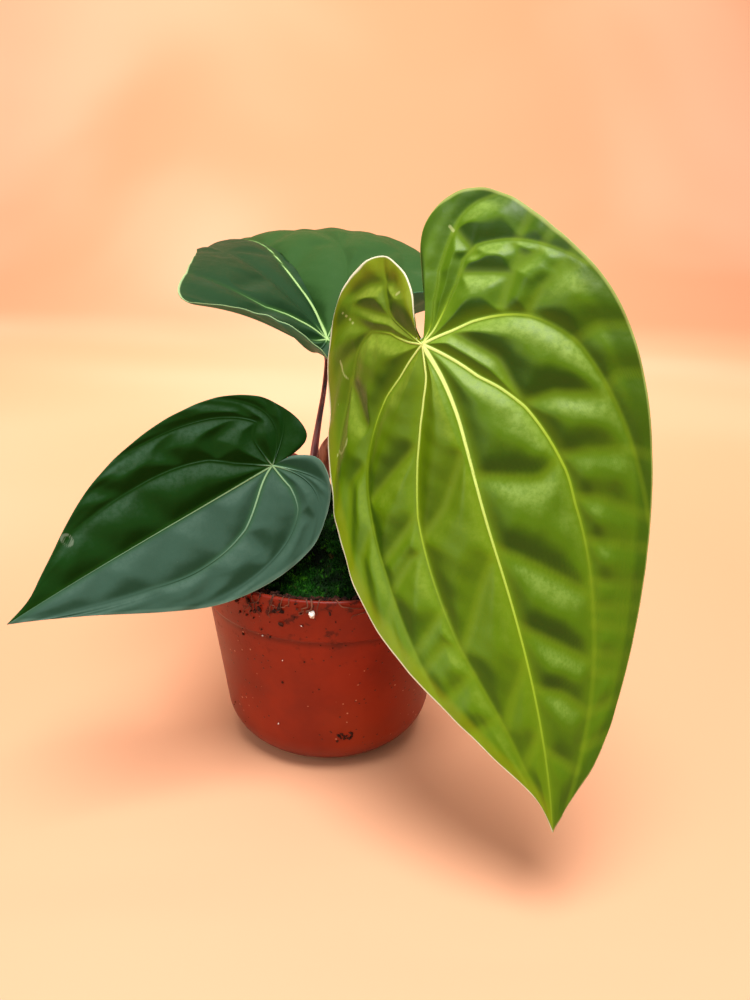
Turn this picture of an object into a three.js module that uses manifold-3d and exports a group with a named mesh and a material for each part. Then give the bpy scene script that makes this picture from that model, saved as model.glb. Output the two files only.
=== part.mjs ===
// Potted anthurium regale: a 12 cm nursery pot with soil, a moss cushion, a short stem and three leaves.
// Units are millimetres, +Z is up, and the pot stands on z = 0 with its axis on the Z axis.
// The open front leaf faces -Y, the small leaf reaches to -X and the third leaf arches over the back.
import * as THREE from 'three';
import Module from 'manifold-3d';

const wasm = await Module();
wasm.setup();

// Driving dimensions of the pot
const POT_HEIGHT = 92;
const RIM_RADIUS = 60;
const WALL_FOOT_RADIUS = 46.3;
const WALL_TOP_RADIUS = 59.3;
const FOOT_ROUNDING = 20;
const WALL = 1.5;
const FLOOR = 2.4;
const BAND_HEIGHT = 20;
const POT_SIDES = 40;
const DRAIN_HOLES = 6;
const DRAIN_RADIUS = 3.5;
const DRAIN_CIRCLE = 22;

// Driving dimensions of the filling, the stem and the moss
const GAP = 0.3;
const SOIL_TOP = 87.5;
const STEM_X = -7;
const STEM_Y = 2;
const STEM_RADIUS = 7.2;
const STEM_FOOT = 42;
const STEM_TOP = 124;
const MOSS_EDGE = 53;
const MOSS_HOLE = 8.2;

// Driving dimensions shared by the leaves
const BLADE = 0.8;
const RIB = 1.5;
const RIB_HALF_WIDTH = 1.6;
const CUSHION_REACH = 8;
const JOINT_GAP = 0.35;

// How far a ray of the fan bows out on its way to each of the thirteen outline points
const BOW = [
  [0, 0], [0.6, -0.27], [0.67, -0.45], [0.66, -0.7], [0.6, -0.9], [0.28, -1.28], [0.05, -1.22],
  [0.01, -0.88], [0.16, -0.6], [0.15, -0.17], [0.32, -0.16], [0.39, -0.37], [0, 0],
];

// Each leaf: its midrib as a cubic curve from the junction with the petiole to the tip, the way its
// upper face looks at both ends, and for each half the flat outline from the tip round to the sinus.
// slope is how steeply a half rises beside the midrib, at the junction and at the tip, in radians.
// curl is how fast it bends down again towards the margin, in radians per millimetre.
// lobeSlope is how much more steeply a half rises behind the junction, in radians per leaf length.
// veins gives each side vein, by the outline point that it aims at, as [share of its length, along]
// pairs; cross gives each cross vein as [along, share] pairs, with along counted on the outline.
const FRONT_LEAF = {
  name: 'leaf_front',
  color: 0x6f8a1e,
  midrib: [[32, -57.9, 193.7], [50.2, -86.9, 145.4], [74.4, -105.6, 93.7], [77.8, -125.8, 37]],
  face: [[-0.56, -0.81, 0.19], [-0.02, -0.92, 0.39]],
  cushion: 2.8,
  lobeCurl: 0.003,
  rows: 17,
  steps: [0, 0.06, 0.26, 0.44, 0.6, 0.78, 0.94],
  halves: [
    {
      side: 1, slope: [-0.27, 0.07], curl: 0.0027, lobeSlope: -0.2,
      outline: [
        [0, 177.5], [5, 165.5], [19.5, 147], [41.5, 115], [57, 82], [65, 41.5], [65, 6],
        [53, -26.5], [37.5, -40.5], [21.5, -44.5], [4, -39], [-4.5, -21], [2.2, -2.2],
      ],
      veins: {
        1: [
          [0, 0.45], [0.07, 0.45], [0.12, 0.62], [0.18, 0.73], [0.27, 0.83], [0.41, 0.93],
          [0.85, 0.72], [1, 0.7],
        ],
        4: [[0, 2.95], [0.13, 2.95], [0.23, 3.25], [0.49, 3.35], [0.57, 3.25], [0.75, 2.8], [1, 2.6]],
        6: [[0, 5], [0.06, 5.13], [0.19, 6.02], [0.35, 6.23], [0.48, 5.87], [0.57, 5.43], [1, 5.2]],
        8: [[0, 7.5], [0.1, 7.9], [0.5, 9.4], [0.7, 9.8], [1, 9.9]],
      },
      cross: [
        [[0, 0.44], [0.35, 0.53], [0.87, 0.71]], [[0, 0.66], [0.42, 0.77], [0.67, 0.84]],
        [[0, 0.24], [0.5, 0.36], [0.9, 0.46]], [[0, 0.8], [0.7, 0.92]],
        [[0.85, 0.24], [1.87, 0.35], [2.93, 0.56]], [[0.92, 0.4], [1.2, 0.45], [2.72, 0.7]],
        [[1, 0.5], [1.3, 0.53], [2.65, 0.76]], [[0.9, 0.62], [1.37, 0.69], [2.73, 0.92]],
        [[0.87, 0.7], [1.23, 0.72], [2.6, 0.93]], [[0.85, 0.75], [2.6, 1]],
        [[0.75, 0.83], [2.1, 0.98]], [[5.4, 0.6], [3.87, 0.42]], [[3.35, 0.5], [4.2, 0.72], [4.4, 1]],
        [[3.05, 0.66], [3.7, 0.84], [3.8, 1]], [[2.75, 0.8], [3.1, 0.9], [3.2, 1]],
        [[6.05, 0.3], [7, 0.6], [7.2, 1]], [[5.9, 0.52], [6.2, 0.75], [6.3, 1]],
        [[10.18, 0.7], [9.07, 0.75], [8.22, 0.72]], [[8.6, 0.3], [7.6, 0.62]],
      ],
    },
    {
      side: -1, slope: [-0.18, -0.02], curl: 0, lobeSlope: -0.2,
      outline: [
        [0, 177.5], [6, 168.5], [20.5, 149.5], [39.5, 112.5], [56, 74], [65.5, 39.5], [66, 10],
        [56, -19.5], [42.5, -42.5], [27.5, -49], [13.5, -40.5], [7.2, -20], [4, -2.4],
      ],
      veins: {
        1: [
          [0, 1.15], [0.15, 1.12], [0.21, 1.33], [0.29, 1.5], [0.45, 1.33], [0.5, 1.17], [0.69, 1.02],
          [1, 0.93],
        ],
        4: [[0, 3.95], [0.1, 3.95], [0.19, 4.12], [0.45, 4.3], [0.66, 4.33], [0.8, 4.05], [1, 3.7]],
        6: [
          [0, 4.7], [0.06, 4.8], [0.12, 5.25], [0.24, 6.15], [0.35, 6.82], [0.43, 7.2], [0.63, 7],
          [1, 6.2],
        ],
        8: [[0, 5.6], [0.06, 5.8], [0.18, 8], [0.4, 8.8], [0.71, 8.53], [0.89, 8.03], [1, 7.9]],
      },
      cross: [
        [[0.1, 0.29], [0.52, 0.35], [0.8, 0.4], [1.4, 0.42]],
        [[0, 0.43], [0.35, 0.5], [0.68, 0.59], [1, 0.66]], [[0, 0.59], [0.37, 0.66], [0.87, 0.76]],
        [[0.05, 0.72], [0.45, 0.77], [0.92, 0.85]], [[0, 0.84], [0.9, 0.94]],
        [[1.42, 0.28], [2.05, 0.33], [2.82, 0.46], [3.95, 0.75]],
        [[1.45, 0.42], [2.62, 0.59], [3.85, 0.87], [4.28, 1]],
        [[1.27, 0.5], [2.23, 0.62], [3.68, 0.97]], [[1.2, 0.58], [3.55, 1]], [[1.05, 0.64], [3.27, 1]],
        [[1, 0.68], [3.1, 1]], [[1, 0.71], [2.92, 1]], [[1, 0.76], [2.73, 1]], [[1, 0.79], [2.58, 1]],
        [[0.94, 0.85], [2.4, 1]], [[1, 0.91], [2.08, 1]],
        [[4.33, 0.45], [5.12, 0.63], [5.8, 0.78], [6.4, 1]], [[4.32, 0.65], [5.03, 0.84], [5.55, 1]],
        [[4.1, 0.76], [4.58, 0.87], [5.03, 1]], [[6.63, 0.69], [7.35, 1]], [[6.33, 0.76], [6.98, 1]],
        [[5.85, 0.77], [6.6, 1]], [[6.68, 0.37], [5.45, 0.52], [6.18, 0.65]],
        [[4.47, 0.36], [5.65, 0.55], [6.33, 0.76]], [[3.65, 0.11], [2.58, 0.23], [1.42, 0.28]],
        [[7.1, 0.5], [8.4, 0.6]],
      ],
    },
  ],
};

const LEFT_LEAF = {
  name: 'leaf_left',
  color: 0x1d3f22,
  midrib: [[-23.8, -32.8, 139.9], [-56.2, -44.4, 122.6], [-86, -54.6, 107.5], [-117.2, -75.8, 91.7]],
  face: [[0.25, -0.95, 0.17], [0.4, -0.83, 0.4]],
  cushion: 0.9,
  lobeCurl: 0,
  rows: 11,
  steps: [0, 0.07, 0.3, 0.5, 0.7, 0.93],
  halves: [
    {
      side: 1, slope: [0.29, 0.29], curl: 0, lobeSlope: 0.09,
      outline: [
        [0, 115.5], [3.5, 105], [13, 91], [27, 70], [35, 50], [39, 27], [37, 7],
        [30, -7], [21, -14], [12, -18], [4, -18], [0.5, -12], [0, -4],
      ],
      veins: {
        1: [[0, 0.8], [0.16, 1.02], [0.29, 1.5], [0.61, 1.52], [0.8, 1.88], [1, 2.3]],
        4: [[0, 3], [0.2, 3.9], [0.42, 4.88], [0.67, 4.5], [0.87, 3.95], [1, 3.9]],
        6: [[0, 6], [1, 6]],
        8: [[0, 8], [1, 8]],
      },
      cross: [
        [[0, 0.4], [0.8, 0.52], [1.5, 0.6]], [[0, 0.6], [1, 0.75], [1.8, 0.85]],
        [[0.05, 0.8], [1, 0.93]], [[1.5, 0.4], [3, 0.66], [4.1, 0.78]],
        [[1.5, 0.25], [3, 0.4], [4.7, 0.55]], [[1.6, 0.66], [3, 0.95]],
        [[4.8, 0.45], [5.6, 0.75], [5.7, 1]], [[6, 0.5], [7, 0.8], [7.3, 1]],
      ],
    },
    {
      side: -1, slope: [0.24, 0.24], curl: 0, lobeSlope: 0.09,
      outline: [
        [0, 115.5], [5, 106], [14, 90], [28, 66], [37, 46], [40, 24], [37, 4],
        [29, -8], [21, -15], [13, -18], [6, -17], [1, -10], [0, -4],
      ],
      veins: {
        1: [[0, 0.5], [0.12, 0.87], [0.3, 1.43], [0.42, 1.47], [0.57, 1.4], [0.68, 1.02], [1, 0.9]],
        4: [[0, 4], [0.18, 4.38], [0.37, 4.42], [0.54, 4.22], [0.71, 3.97], [1, 3.6]],
        6: [[0, 6], [1, 6]],
        8: [[0, 8], [1, 8]],
      },
      cross: [
        [[0.15, 0.44], [0.4, 0.51], [0.87, 0.65], [2.6, 0.92]],
        [[1.72, 0.33], [3.25, 0.55], [4.15, 0.76]], [[1.45, 0.5], [2.6, 0.7], [3.4, 0.95]],
        [[0, 0.25], [0.8, 0.35], [1.45, 0.45]], [[0, 0.65], [0.9, 0.85]],
        [[4.4, 0.4], [5.4, 0.66], [5.6, 1]], [[6, 0.5], [7, 0.75], [7.4, 1]],
      ],
    },
  ],
};

const BACK_LEAF = {
  name: 'leaf_back',
  color: 0x34553a,
  midrib: [[-2.7, 33.4, 181.4], [-17.8, 79.3, 221.2], [-47.9, 139.5, 236], [-84.2, 188.4, 203.3]],
  face: [[0.02, -0.65, 0.76], [-0.28, 0.2, 0.94]],
  cushion: 1.8,
  lobeCurl: -0.0172,
  rows: 14,
  steps: [0, 0.06, 0.3, 0.5, 0.7, 0.94],
  halves: [
    {
      side: 1, slope: [0.49, -0.15], curl: 0.0103, lobeSlope: 2.8,
      outline: [
        [0, 184.5], [5, 172.5], [20.5, 153], [42, 118.5], [58, 79.5], [64.5, 42.5], [68.5, 8.5],
        [56, -23.5], [41, -43], [25.5, -49], [10, -41], [3, -21.5], [0, -4],
      ],
      veins: {
        1: [[0, 1], [1, 1]],
        4: [[0, 4], [1, 4]],
        6: [[0, 6], [1, 6]],
        8: [[0, 8], [1, 8]],
      },
      cross: [
        [[0, 0.3], [0.63, 0.42], [1, 0.43]], [[0, 0.5], [1, 0.66]], [[0, 0.68], [1, 0.82]],
        [[1, 0.25], [2.5, 0.45], [4, 0.75]], [[1, 0.4], [2.5, 0.66], [3.6, 1]], [[1, 0.55], [2.9, 1]],
        [[4, 0.35], [5, 0.5], [6, 0.6]], [[4, 0.6], [5.5, 1]], [[6, 0.4], [7, 0.7], [7.2, 1]],
      ],
    },
    {
      side: -1, slope: [0.83, -0.2], curl: 0.0081, lobeSlope: 0.95,
      outline: [
        [0, 184.5], [7.5, 170.5], [20, 144], [35, 106], [46.5, 72], [60.5, 37.5], [72, 5],
        [55.5, -20.5], [40, -43], [24, -47], [10, -41], [3, -21.5], [0, -4],
      ],
      veins: {
        1: [[0, 1], [1, 1]],
        4: [[0, 4], [0.3, 4.05], [0.5, 4.48], [0.7, 4.87], [1, 5]],
        6: [[0, 6], [1, 6]],
        8: [[0, 8], [1, 8]],
      },
      cross: [
        [[0.58, 0.69], [1.78, 0.51]], [[0, 0.35], [1, 0.5], [2, 0.62], [3, 0.9]],
        [[1, 0.25], [2.6, 0.38], [4.2, 0.6]], [[0, 0.55], [1, 0.7], [2.2, 1]],
        [[4.3, 0.4], [5.5, 0.7], [5.8, 1]], [[6, 0.4], [7, 0.7], [7.4, 1]],
      ],
    },
  ],
};

// A petiole runs from the stem top through these points; its last point lies behind its blade
const PETIOLES = [
  {
    name: 'petiole_front',
    leaf: FRONT_LEAF,
    path: [[-3.2, -0.8], [-3.2, -1.6, 134], [0.5, -4.5, 145], [12, -12, 161], [27, -25, 179], [37, -41, 189]],
  },
  {
    name: 'petiole_left',
    leaf: LEFT_LEAF,
    path: [[-10.8, -0.6], [-12, -2.4, 131], [-17.5, -9, 137.5], [-24.5, -20.5, 140.5]],
  },
  {
    name: 'petiole_back',
    leaf: BACK_LEAF,
    path: [[-7.6, 6.2], [-7.8, 7.8, 133], [-6, 15, 146], [-3.8, 25, 158.5], [-2.6, 38, 171]],
  },
];

// Surface stuff of every node
function material(color, roughness) {
  return new THREE.MeshStandardMaterial({ color, roughness, metalness: 0 });
}

function node(name, geometry, color, roughness) {
  geometry.computeVertexNormals();
  const mesh = new THREE.Mesh(geometry, material(color, roughness));
  mesh.name = name;
  return mesh;
}

// Solids and the cutting of one from another
function indexed(geometry) {
  geometry.deleteAttribute('normal');
  geometry.deleteAttribute('uv');
  const seen = new Map();
  const corners = [];
  const remap = [];
  const position = geometry.attributes.position;
  for (let i = 0; i < position.count; i += 1) {
    const key = [position.getX(i), position.getY(i), position.getZ(i)].map((c) => Math.round(c * 1e4)).join();
    if (!seen.has(key)) {
      seen.set(key, corners.length / 3);
      corners.push(position.getX(i), position.getY(i), position.getZ(i));
    }
    remap.push(seen.get(key));
  }
  const order = geometry.index ? Array.from(geometry.index.array) : remap.map((_, i) => i);
  const faces = [];
  for (let i = 0; i < order.length; i += 3) {
    const [a, b, c] = [remap[order[i]], remap[order[i + 1]], remap[order[i + 2]]];
    if (a !== b && b !== c && c !== a) {
      faces.push(a, b, c);
    }
  }
  return { corners, faces };
}

function toSolid(geometry) {
  const { corners, faces } = indexed(geometry);
  const mesh = new wasm.Mesh({
    numProp: 3,
    vertProperties: new Float32Array(corners),
    triVerts: new Uint32Array(faces),
  });
  return new wasm.Manifold(mesh);
}

function fromSolid(solid) {
  const mesh = solid.getMesh();
  return meshFrom(Array.from(mesh.vertProperties), Array.from(mesh.triVerts));
}

function meshFrom(corners, faces) {
  const geometry = new THREE.BufferGeometry();
  geometry.setAttribute('position', new THREE.Float32BufferAttribute(corners, 3));
  geometry.setIndex(faces);
  return geometry;
}

function uprightCylinder(x, y, radius, low, high, sides) {
  const geometry = new THREE.CylinderGeometry(radius, radius, high - low, sides);
  geometry.rotateX(Math.PI / 2);
  geometry.translate(x, y, (low + high) / 2);
  return geometry;
}

// A lathe profile of [radius, height] pairs turned about the Z axis
function turned(profile, sides) {
  const points = profile.map(([radius, height]) => new THREE.Vector2(radius, height));
  const geometry = new THREE.LatheGeometry(points, sides);
  geometry.rotateX(Math.PI / 2);
  return geometry;
}

// Smooth ups and downs of about -1 to 1, used for soil and moss
function lumps(x, y, z) {
  const a = Math.sin(x * 0.61 + 1.3) * Math.cos(y * 0.53 - z * 0.31 + 0.4);
  const b = Math.sin(x * 0.27 - y * 0.41 + 2.1) * Math.cos(z * 0.37 + 0.8);
  return 0.55 * a + 0.45 * b;
}

// Pot: outer wall radius below the band, at a height
function wallRadius(height) {
  return WALL_FOOT_RADIUS + (WALL_TOP_RADIUS - WALL_FOOT_RADIUS) * (height / POT_HEIGHT);
}

// The rounded foot as points from the flat bottom up to the wall, drawn inwards by an offset
function footArc(offset, count) {
  const lean = Math.atan((WALL_TOP_RADIUS - WALL_FOOT_RADIUS) / POT_HEIGHT);
  const turn = Math.PI / 2 - lean;
  const reach = FOOT_ROUNDING * Math.tan(turn / 2);
  const centre = WALL_FOOT_RADIUS - reach;
  const points = [];
  for (let i = 0; i <= count; i += 1) {
    const angle = (turn * i) / count;
    const radius = FOOT_ROUNDING - offset;
    points.push([centre + radius * Math.sin(angle), FOOT_ROUNDING - radius * Math.cos(angle)]);
  }
  return points;
}

function potGeometry() {
  const bandLow = POT_HEIGHT - BAND_HEIGHT;
  const profile = [
    [0, 0],
    ...footArc(0, 5),
    [wallRadius(bandLow - 1), bandLow - 1],
    [wallRadius(bandLow) + 0.9, bandLow + 0.6],
    [RIM_RADIUS - 0.15, POT_HEIGHT - 1],
    [RIM_RADIUS - 0.7, POT_HEIGHT],
    [RIM_RADIUS - 1.7, POT_HEIGHT],
    [RIM_RADIUS - 2.3, POT_HEIGHT - 0.8],
    ...footArc(WALL, 4).slice(1).reverse(),
    [WALL_FOOT_RADIUS - FOOT_ROUNDING, FLOOR],
    [0, FLOOR],
  ];
  let solid = toSolid(turned(profile, POT_SIDES));
  for (let i = 0; i < DRAIN_HOLES; i += 1) {
    const angle = (2 * Math.PI * (i + 0.5)) / DRAIN_HOLES;
    const x = DRAIN_CIRCLE * Math.cos(angle);
    const y = DRAIN_CIRCLE * Math.sin(angle);
    solid = solid.subtract(toSolid(uprightCylinder(x, y, DRAIN_RADIUS, -5, FLOOR + 5, 12)));
  }
  return fromSolid(solid);
}

// Soil: a plug that fills the pot, lumpy on top, with a plain hole where the stem stands
function soilGeometry() {
  const inside = (height) => wallRadius(height) - WALL - 2 * GAP;
  const profile = [
    [0, FLOOR + GAP],
    [WALL_FOOT_RADIUS - FOOT_ROUNDING - 1, FLOOR + GAP],
    ...footArc(WALL + 2 * GAP, 4).slice(1),
    [inside(POT_HEIGHT - 6), POT_HEIGHT - 6],
    [inside(SOIL_TOP) - 1.5, SOIL_TOP + 1.5],
    [MOSS_EDGE + 1.6, SOIL_TOP + 1.2],
    [MOSS_EDGE + 0.6, SOIL_TOP],
    [28, SOIL_TOP],
    [0, SOIL_TOP],
  ];
  const geometry = turned(profile, POT_SIDES);
  const position = geometry.attributes.position;
  for (let i = 0; i < position.count; i += 1) {
    const radius = Math.hypot(position.getX(i), position.getY(i));
    if (position.getZ(i) > SOIL_TOP + 1) {
      const angle = Math.round((Math.atan2(position.getY(i), position.getX(i)) * POT_SIDES) / (2 * Math.PI));
      position.setZ(i, position.getZ(i) + 1.1 * Math.sin(2.3 * angle + radius) * Math.cos(1.1 * angle));
    }
  }
  const hole = uprightCylinder(STEM_X, STEM_Y, STEM_RADIUS + GAP, STEM_FOOT - GAP, SOIL_TOP + 20, 20);
  return fromSolid(toSolid(geometry).subtract(toSolid(hole)));
}

// Stem: a short thick trunk with the rings of old leaf scars
function stemGeometry() {
  const profile = [[0, STEM_FOOT], [STEM_RADIUS - 2, STEM_FOOT]];
  for (let height = STEM_FOOT + 3; height < STEM_TOP - 4; height += 8) {
    profile.push([STEM_RADIUS - 0.7, height]);
    profile.push([STEM_RADIUS - 0.1, height + 3.2]);
  }
  profile.push([STEM_RADIUS - 1.2, STEM_TOP - 1.5], [STEM_RADIUS - 2.6, STEM_TOP], [0, STEM_TOP]);
  const geometry = turned(profile, 14);
  geometry.translate(STEM_X, STEM_Y, 0);
  return geometry;
}

// Moss: a cushion on the soil that climbs the stem as a ragged collar round a plain hole
function mossGeometry() {
  const around = 36;
  const low = SOIL_TOP + GAP;
  const collarTop = (angle) => STEM_TOP - 5 + 2.5 * Math.cos(angle - 2.7) + 1.5 * Math.sin(5 * angle);
  const edge = (angle) => MOSS_EDGE - 3 + 2.2 * Math.sin(3 * angle + 0.5) + 1.2 * Math.sin(7 * angle);
  const shares = [1, 0.97, 0.88, 0.76, 0.64, 0.52, 0.4, 0.28, 0.16, 0.07, 0];
  const corners = [];
  const faces = [];
  for (let i = 0; i < around; i += 1) {
    const angle = (2 * Math.PI * i) / around;
    const rings = shares.map((share, k) => {
      const centreX = STEM_X * (1 - share);
      const centreY = STEM_Y * (1 - share);
      const radius = 12.5 + (edge(angle) - 12.5) * share;
      const rise = k === 0 ? 0 : 2.4 + 22.6 * (1 - share) ** 1.3;
      const x = centreX + radius * Math.cos(angle);
      const y = centreY + radius * Math.sin(angle);
      const bump = k === 0 ? 0 : 1.3 * lumps(x, y, 0);
      return [x, y, low + Math.max(rise + bump, k === 0 ? 0 : 0.8)];
    });
    const top = collarTop(angle);
    const collar = [[11.7, 0.5], [10.8, 0.9], [9.4, 1]].map(([radius, share]) => {
      const base = low + 25;
      const bump = lumps(radius * Math.cos(angle) * 2, radius * Math.sin(angle) * 2, share * 9);
      const wide = radius + 0.7 * bump;
      return [STEM_X + wide * Math.cos(angle), STEM_Y + wide * Math.sin(angle), base + (top - base) * share];
    });
    const inner = [[MOSS_HOLE, top - 1.5], [MOSS_HOLE, low]].map(([radius, height]) => {
      return [STEM_X + radius * Math.cos(angle), STEM_Y + radius * Math.sin(angle), height];
    });
    corners.push(...rings, ...collar, ...inner);
  }
  const count = corners.length / around;
  for (let i = 0; i < around; i += 1) {
    const next = (i + 1) % around;
    for (let k = 0; k < count; k += 1) {
      const up = (k + 1) % count;
      const [a, b, c, d] = [i * count + k, next * count + k, next * count + up, i * count + up];
      faces.push(a, b, c, a, c, d);
    }
  }
  return meshFrom(corners.flat(), faces);
}

// A tapering tube along a path, closed at both ends; radiusAt gives the radius at a share of the path
function tube(path, radiusAt, lengths, sides) {
  const curve = new THREE.CatmullRomCurve3(path);
  const frames = curve.computeFrenetFrames(lengths);
  const corners = [];
  const faces = [];
  for (let i = 0; i <= lengths; i += 1) {
    const share = i / lengths;
    const centre = curve.getPointAt(share);
    for (let k = 0; k < sides; k += 1) {
      const angle = (2 * Math.PI * k) / sides;
      const point = centre.clone();
      point.addScaledVector(frames.normals[i], radiusAt(share) * Math.cos(angle));
      point.addScaledVector(frames.binormals[i], radiusAt(share) * Math.sin(angle));
      corners.push(point.x, point.y, point.z);
    }
  }
  for (let i = 0; i < lengths; i += 1) {
    for (let k = 0; k < sides; k += 1) {
      const next = (k + 1) % sides;
      const [a, b] = [i * sides + k, i * sides + next];
      faces.push(a, b, b + sides, a, b + sides, a + sides);
    }
  }
  const last = lengths * sides;
  for (let k = 1; k < sides - 1; k += 1) {
    faces.push(0, k + 1, k, last, last + k, last + k + 1);
  }
  return meshFrom(corners, faces);
}

// Petiole: thick at its clasping foot, slender above, with a swollen joint just below the blade
function petioleRadius(share) {
  return 1.05 + 1.6 * Math.exp(-share * 4.5) + 0.7 * Math.exp(-(((share - 0.93) / 0.05) ** 2));
}

function petiolePath({ leaf, path }) {
  const face = new THREE.Vector3(...leaf.face[0]).normalize();
  const [foot, ...others] = path;
  const end = new THREE.Vector3(...leaf.midrib[0]).addScaledVector(face, -(BLADE + RIB + JOINT_GAP));
  return [
    new THREE.Vector3(foot[0], foot[1], STEM_TOP + GAP),
    ...others.map((point) => new THREE.Vector3(...point)),
    end.clone().addScaledVector(face, -4),
    end,
  ];
}

// Bract: a thin papery scale that stands half round the foot of the front petiole
function bractGeometry() {
  const curve = new THREE.CatmullRomCurve3(petiolePath(PETIOLES[0]));
  const levels = 8;
  const across = 8;
  const corners = [];
  const faces = [];
  const place = (share, turn, out) => {
    const along = 0.012 + 0.26 * share;
    const angle = -1.5 + turn * (1.9 * (1 - share ** 1.6) + 0.12);
    const radius = petioleRadius(along) + GAP + 0.25 + 1.1 * share + out;
    const point = curve.getPointAt(along);
    corners.push(point.x + radius * Math.cos(angle), point.y + radius * Math.sin(angle), point.z);
  };
  for (const out of [0, 0.7]) {
    for (let i = 0; i <= levels; i += 1) {
      for (let k = 0; k <= across; k += 1) {
        place(i / levels, (2 * k) / across - 1, out);
      }
    }
  }
  const row = across + 1;
  const sheet = (levels + 1) * row;
  for (let i = 0; i < levels; i += 1) {
    for (let k = 0; k < across; k += 1) {
      const a = i * row + k;
      const inner = [a, a + row, a + 1, a + 1, a + row, a + row + 1];
      faces.push(...inner, ...inner.map((corner) => corner + sheet).reverse());
    }
  }
  for (let k = 0; k < across; k += 1) {
    const top = levels * row + k;
    faces.push(k, k + 1, sheet + k, k + 1, sheet + k + 1, sheet + k);
    faces.push(top, sheet + top, top + 1, top + 1, sheet + top, sheet + top + 1);
  }
  for (let i = 0; i < levels; i += 1) {
    const a = i * row;
    const b = a + across;
    faces.push(a, sheet + a, a + row, a + row, sheet + a, sheet + a + row);
    faces.push(b, b + row, sheet + b, b + row, sheet + b + row, sheet + b);
  }
  return meshFrom(corners, faces);
}

function petioleGeometry(petiole) {
  return tube(petiolePath(petiole), petioleRadius, 18, 8);
}

// Leaf blades. A blade is drawn flat first: x runs across the midrib, y from the junction to the tip.
// Each half is a fan of bowed rays from the junction to its outline, and the side veins are rays of it.
function fanPoint(outline, along, share) {
  const points = outline.map((pair) => new THREE.Vector2(...pair));
  const bows = BOW.map((pair) => new THREE.Vector2(...pair));
  const end = new THREE.SplineCurve(points).getPoint(along / 12);
  const bow = new THREE.SplineCurve(bows).getPoint(along / 12);
  return end.clone().multiplyScalar(share).addScaledVector(bow, end.length() * share * (1 - share));
}

// Distance from a flat point to a chain of flat points
function distanceTo(point, chain) {
  let best = Infinity;
  for (let i = 1; i < chain.length; i += 1) {
    const span = chain[i].clone().sub(chain[i - 1]);
    const share = point.clone().sub(chain[i - 1]).dot(span) / span.lengthSq();
    const foot = chain[i - 1].clone().addScaledVector(span, Math.min(1, Math.max(0, share)));
    best = Math.min(best, foot.distanceTo(point));
  }
  return best;
}

// Value at a place between the rows of a table of [place, value] pairs
function between(table, at) {
  const next = table.findIndex(([place]) => place >= at);
  if (next <= 0) {
    return next === 0 ? table[0][1] : table.at(-1)[1];
  }
  const [[low, from], [high, to]] = [table[next - 1], table[next]];
  return from + ((to - from) * (at - low)) / (high - low);
}

// Moves a ray sideways in proportion to the courses of the two main veins beside it
function drifted(half, along, share) {
  const stops = [[0, 0], ...Object.entries(half.veins).map(([at, course]) => {
    return [Number(at), between(course, share) - Number(at)];
  }), [12, 0]];
  return along + between(stops, along);
}

function veinNet(half) {
  const main = [0, ...Object.keys(half.veins).map(Number)].map((along) => {
    return Array.from({ length: 19 }, (_, i) => {
      const share = (i + 0.001) / 18;
      return fanPoint(half.outline, drifted(half, along, share), share);
    });
  });
  const cross = half.cross.map((course) => {
    return course.map(([along, share]) => fanPoint(half.outline, along, share));
  });
  return { main, cross };
}

// Puts a flat point into place: along the midrib curve, out along the bent half, up by a lift
function bladePoint(leaf, half, flat, lift) {
  const curve = leaf.curve;
  const length = curve.getLength();
  const share = Math.min(1, Math.max(0, flat.y / length));
  const tangent = curve.getTangentAt(share);
  const face = leaf.faces[0].clone().lerp(leaf.faces[1], share);
  face.addScaledVector(tangent, -face.dot(tangent)).normalize();
  const origin = curve.getPointAt(share).addScaledVector(tangent, Math.max(0, flat.y - length));
  if (flat.y < 0) {
    const turn = leaf.lobeCurl * flat.y;
    const back = leaf.lobeCurl === 0 ? flat.y : Math.sin(turn) / leaf.lobeCurl;
    const drop = leaf.lobeCurl === 0 ? 0 : (1 - Math.cos(turn)) / leaf.lobeCurl;
    origin.addScaledVector(tangent, back).addScaledVector(face, -drop);
    const ahead = tangent.clone();
    tangent.multiplyScalar(Math.cos(turn)).addScaledVector(face, -Math.sin(turn));
    face.multiplyScalar(Math.cos(turn)).addScaledVector(ahead, Math.sin(turn));
  }
  const across = tangent.clone().cross(face).multiplyScalar(half.side);
  const lobeRise = half.lobeSlope * Math.max(0, -flat.y / length);
  const rise = half.slope[0] * (1 - share) + half.slope[1] * share + lobeRise;
  const curl = half.curl === 0 ? 1e-7 : half.curl;
  const lean = rise - curl * flat.x;
  const out = (Math.sin(rise) - Math.sin(lean)) / curl;
  const up = (Math.cos(lean) - Math.cos(rise)) / curl;
  origin.addScaledVector(across, out - lift * Math.sin(lean));
  return origin.addScaledVector(face, up + lift * Math.cos(lean));
}

// The flat columns of a half: closely spaced beside every main vein, wider on the cushions between
function columns(half, steps) {
  const stops = [0, ...Object.keys(half.veins).map(Number), 12];
  const list = [];
  for (let i = 1; i < stops.length; i += 1) {
    for (const step of steps) {
      list.push(stops[i - 1] + (stops[i] - stops[i - 1]) * step);
    }
  }
  return list;
}

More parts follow.
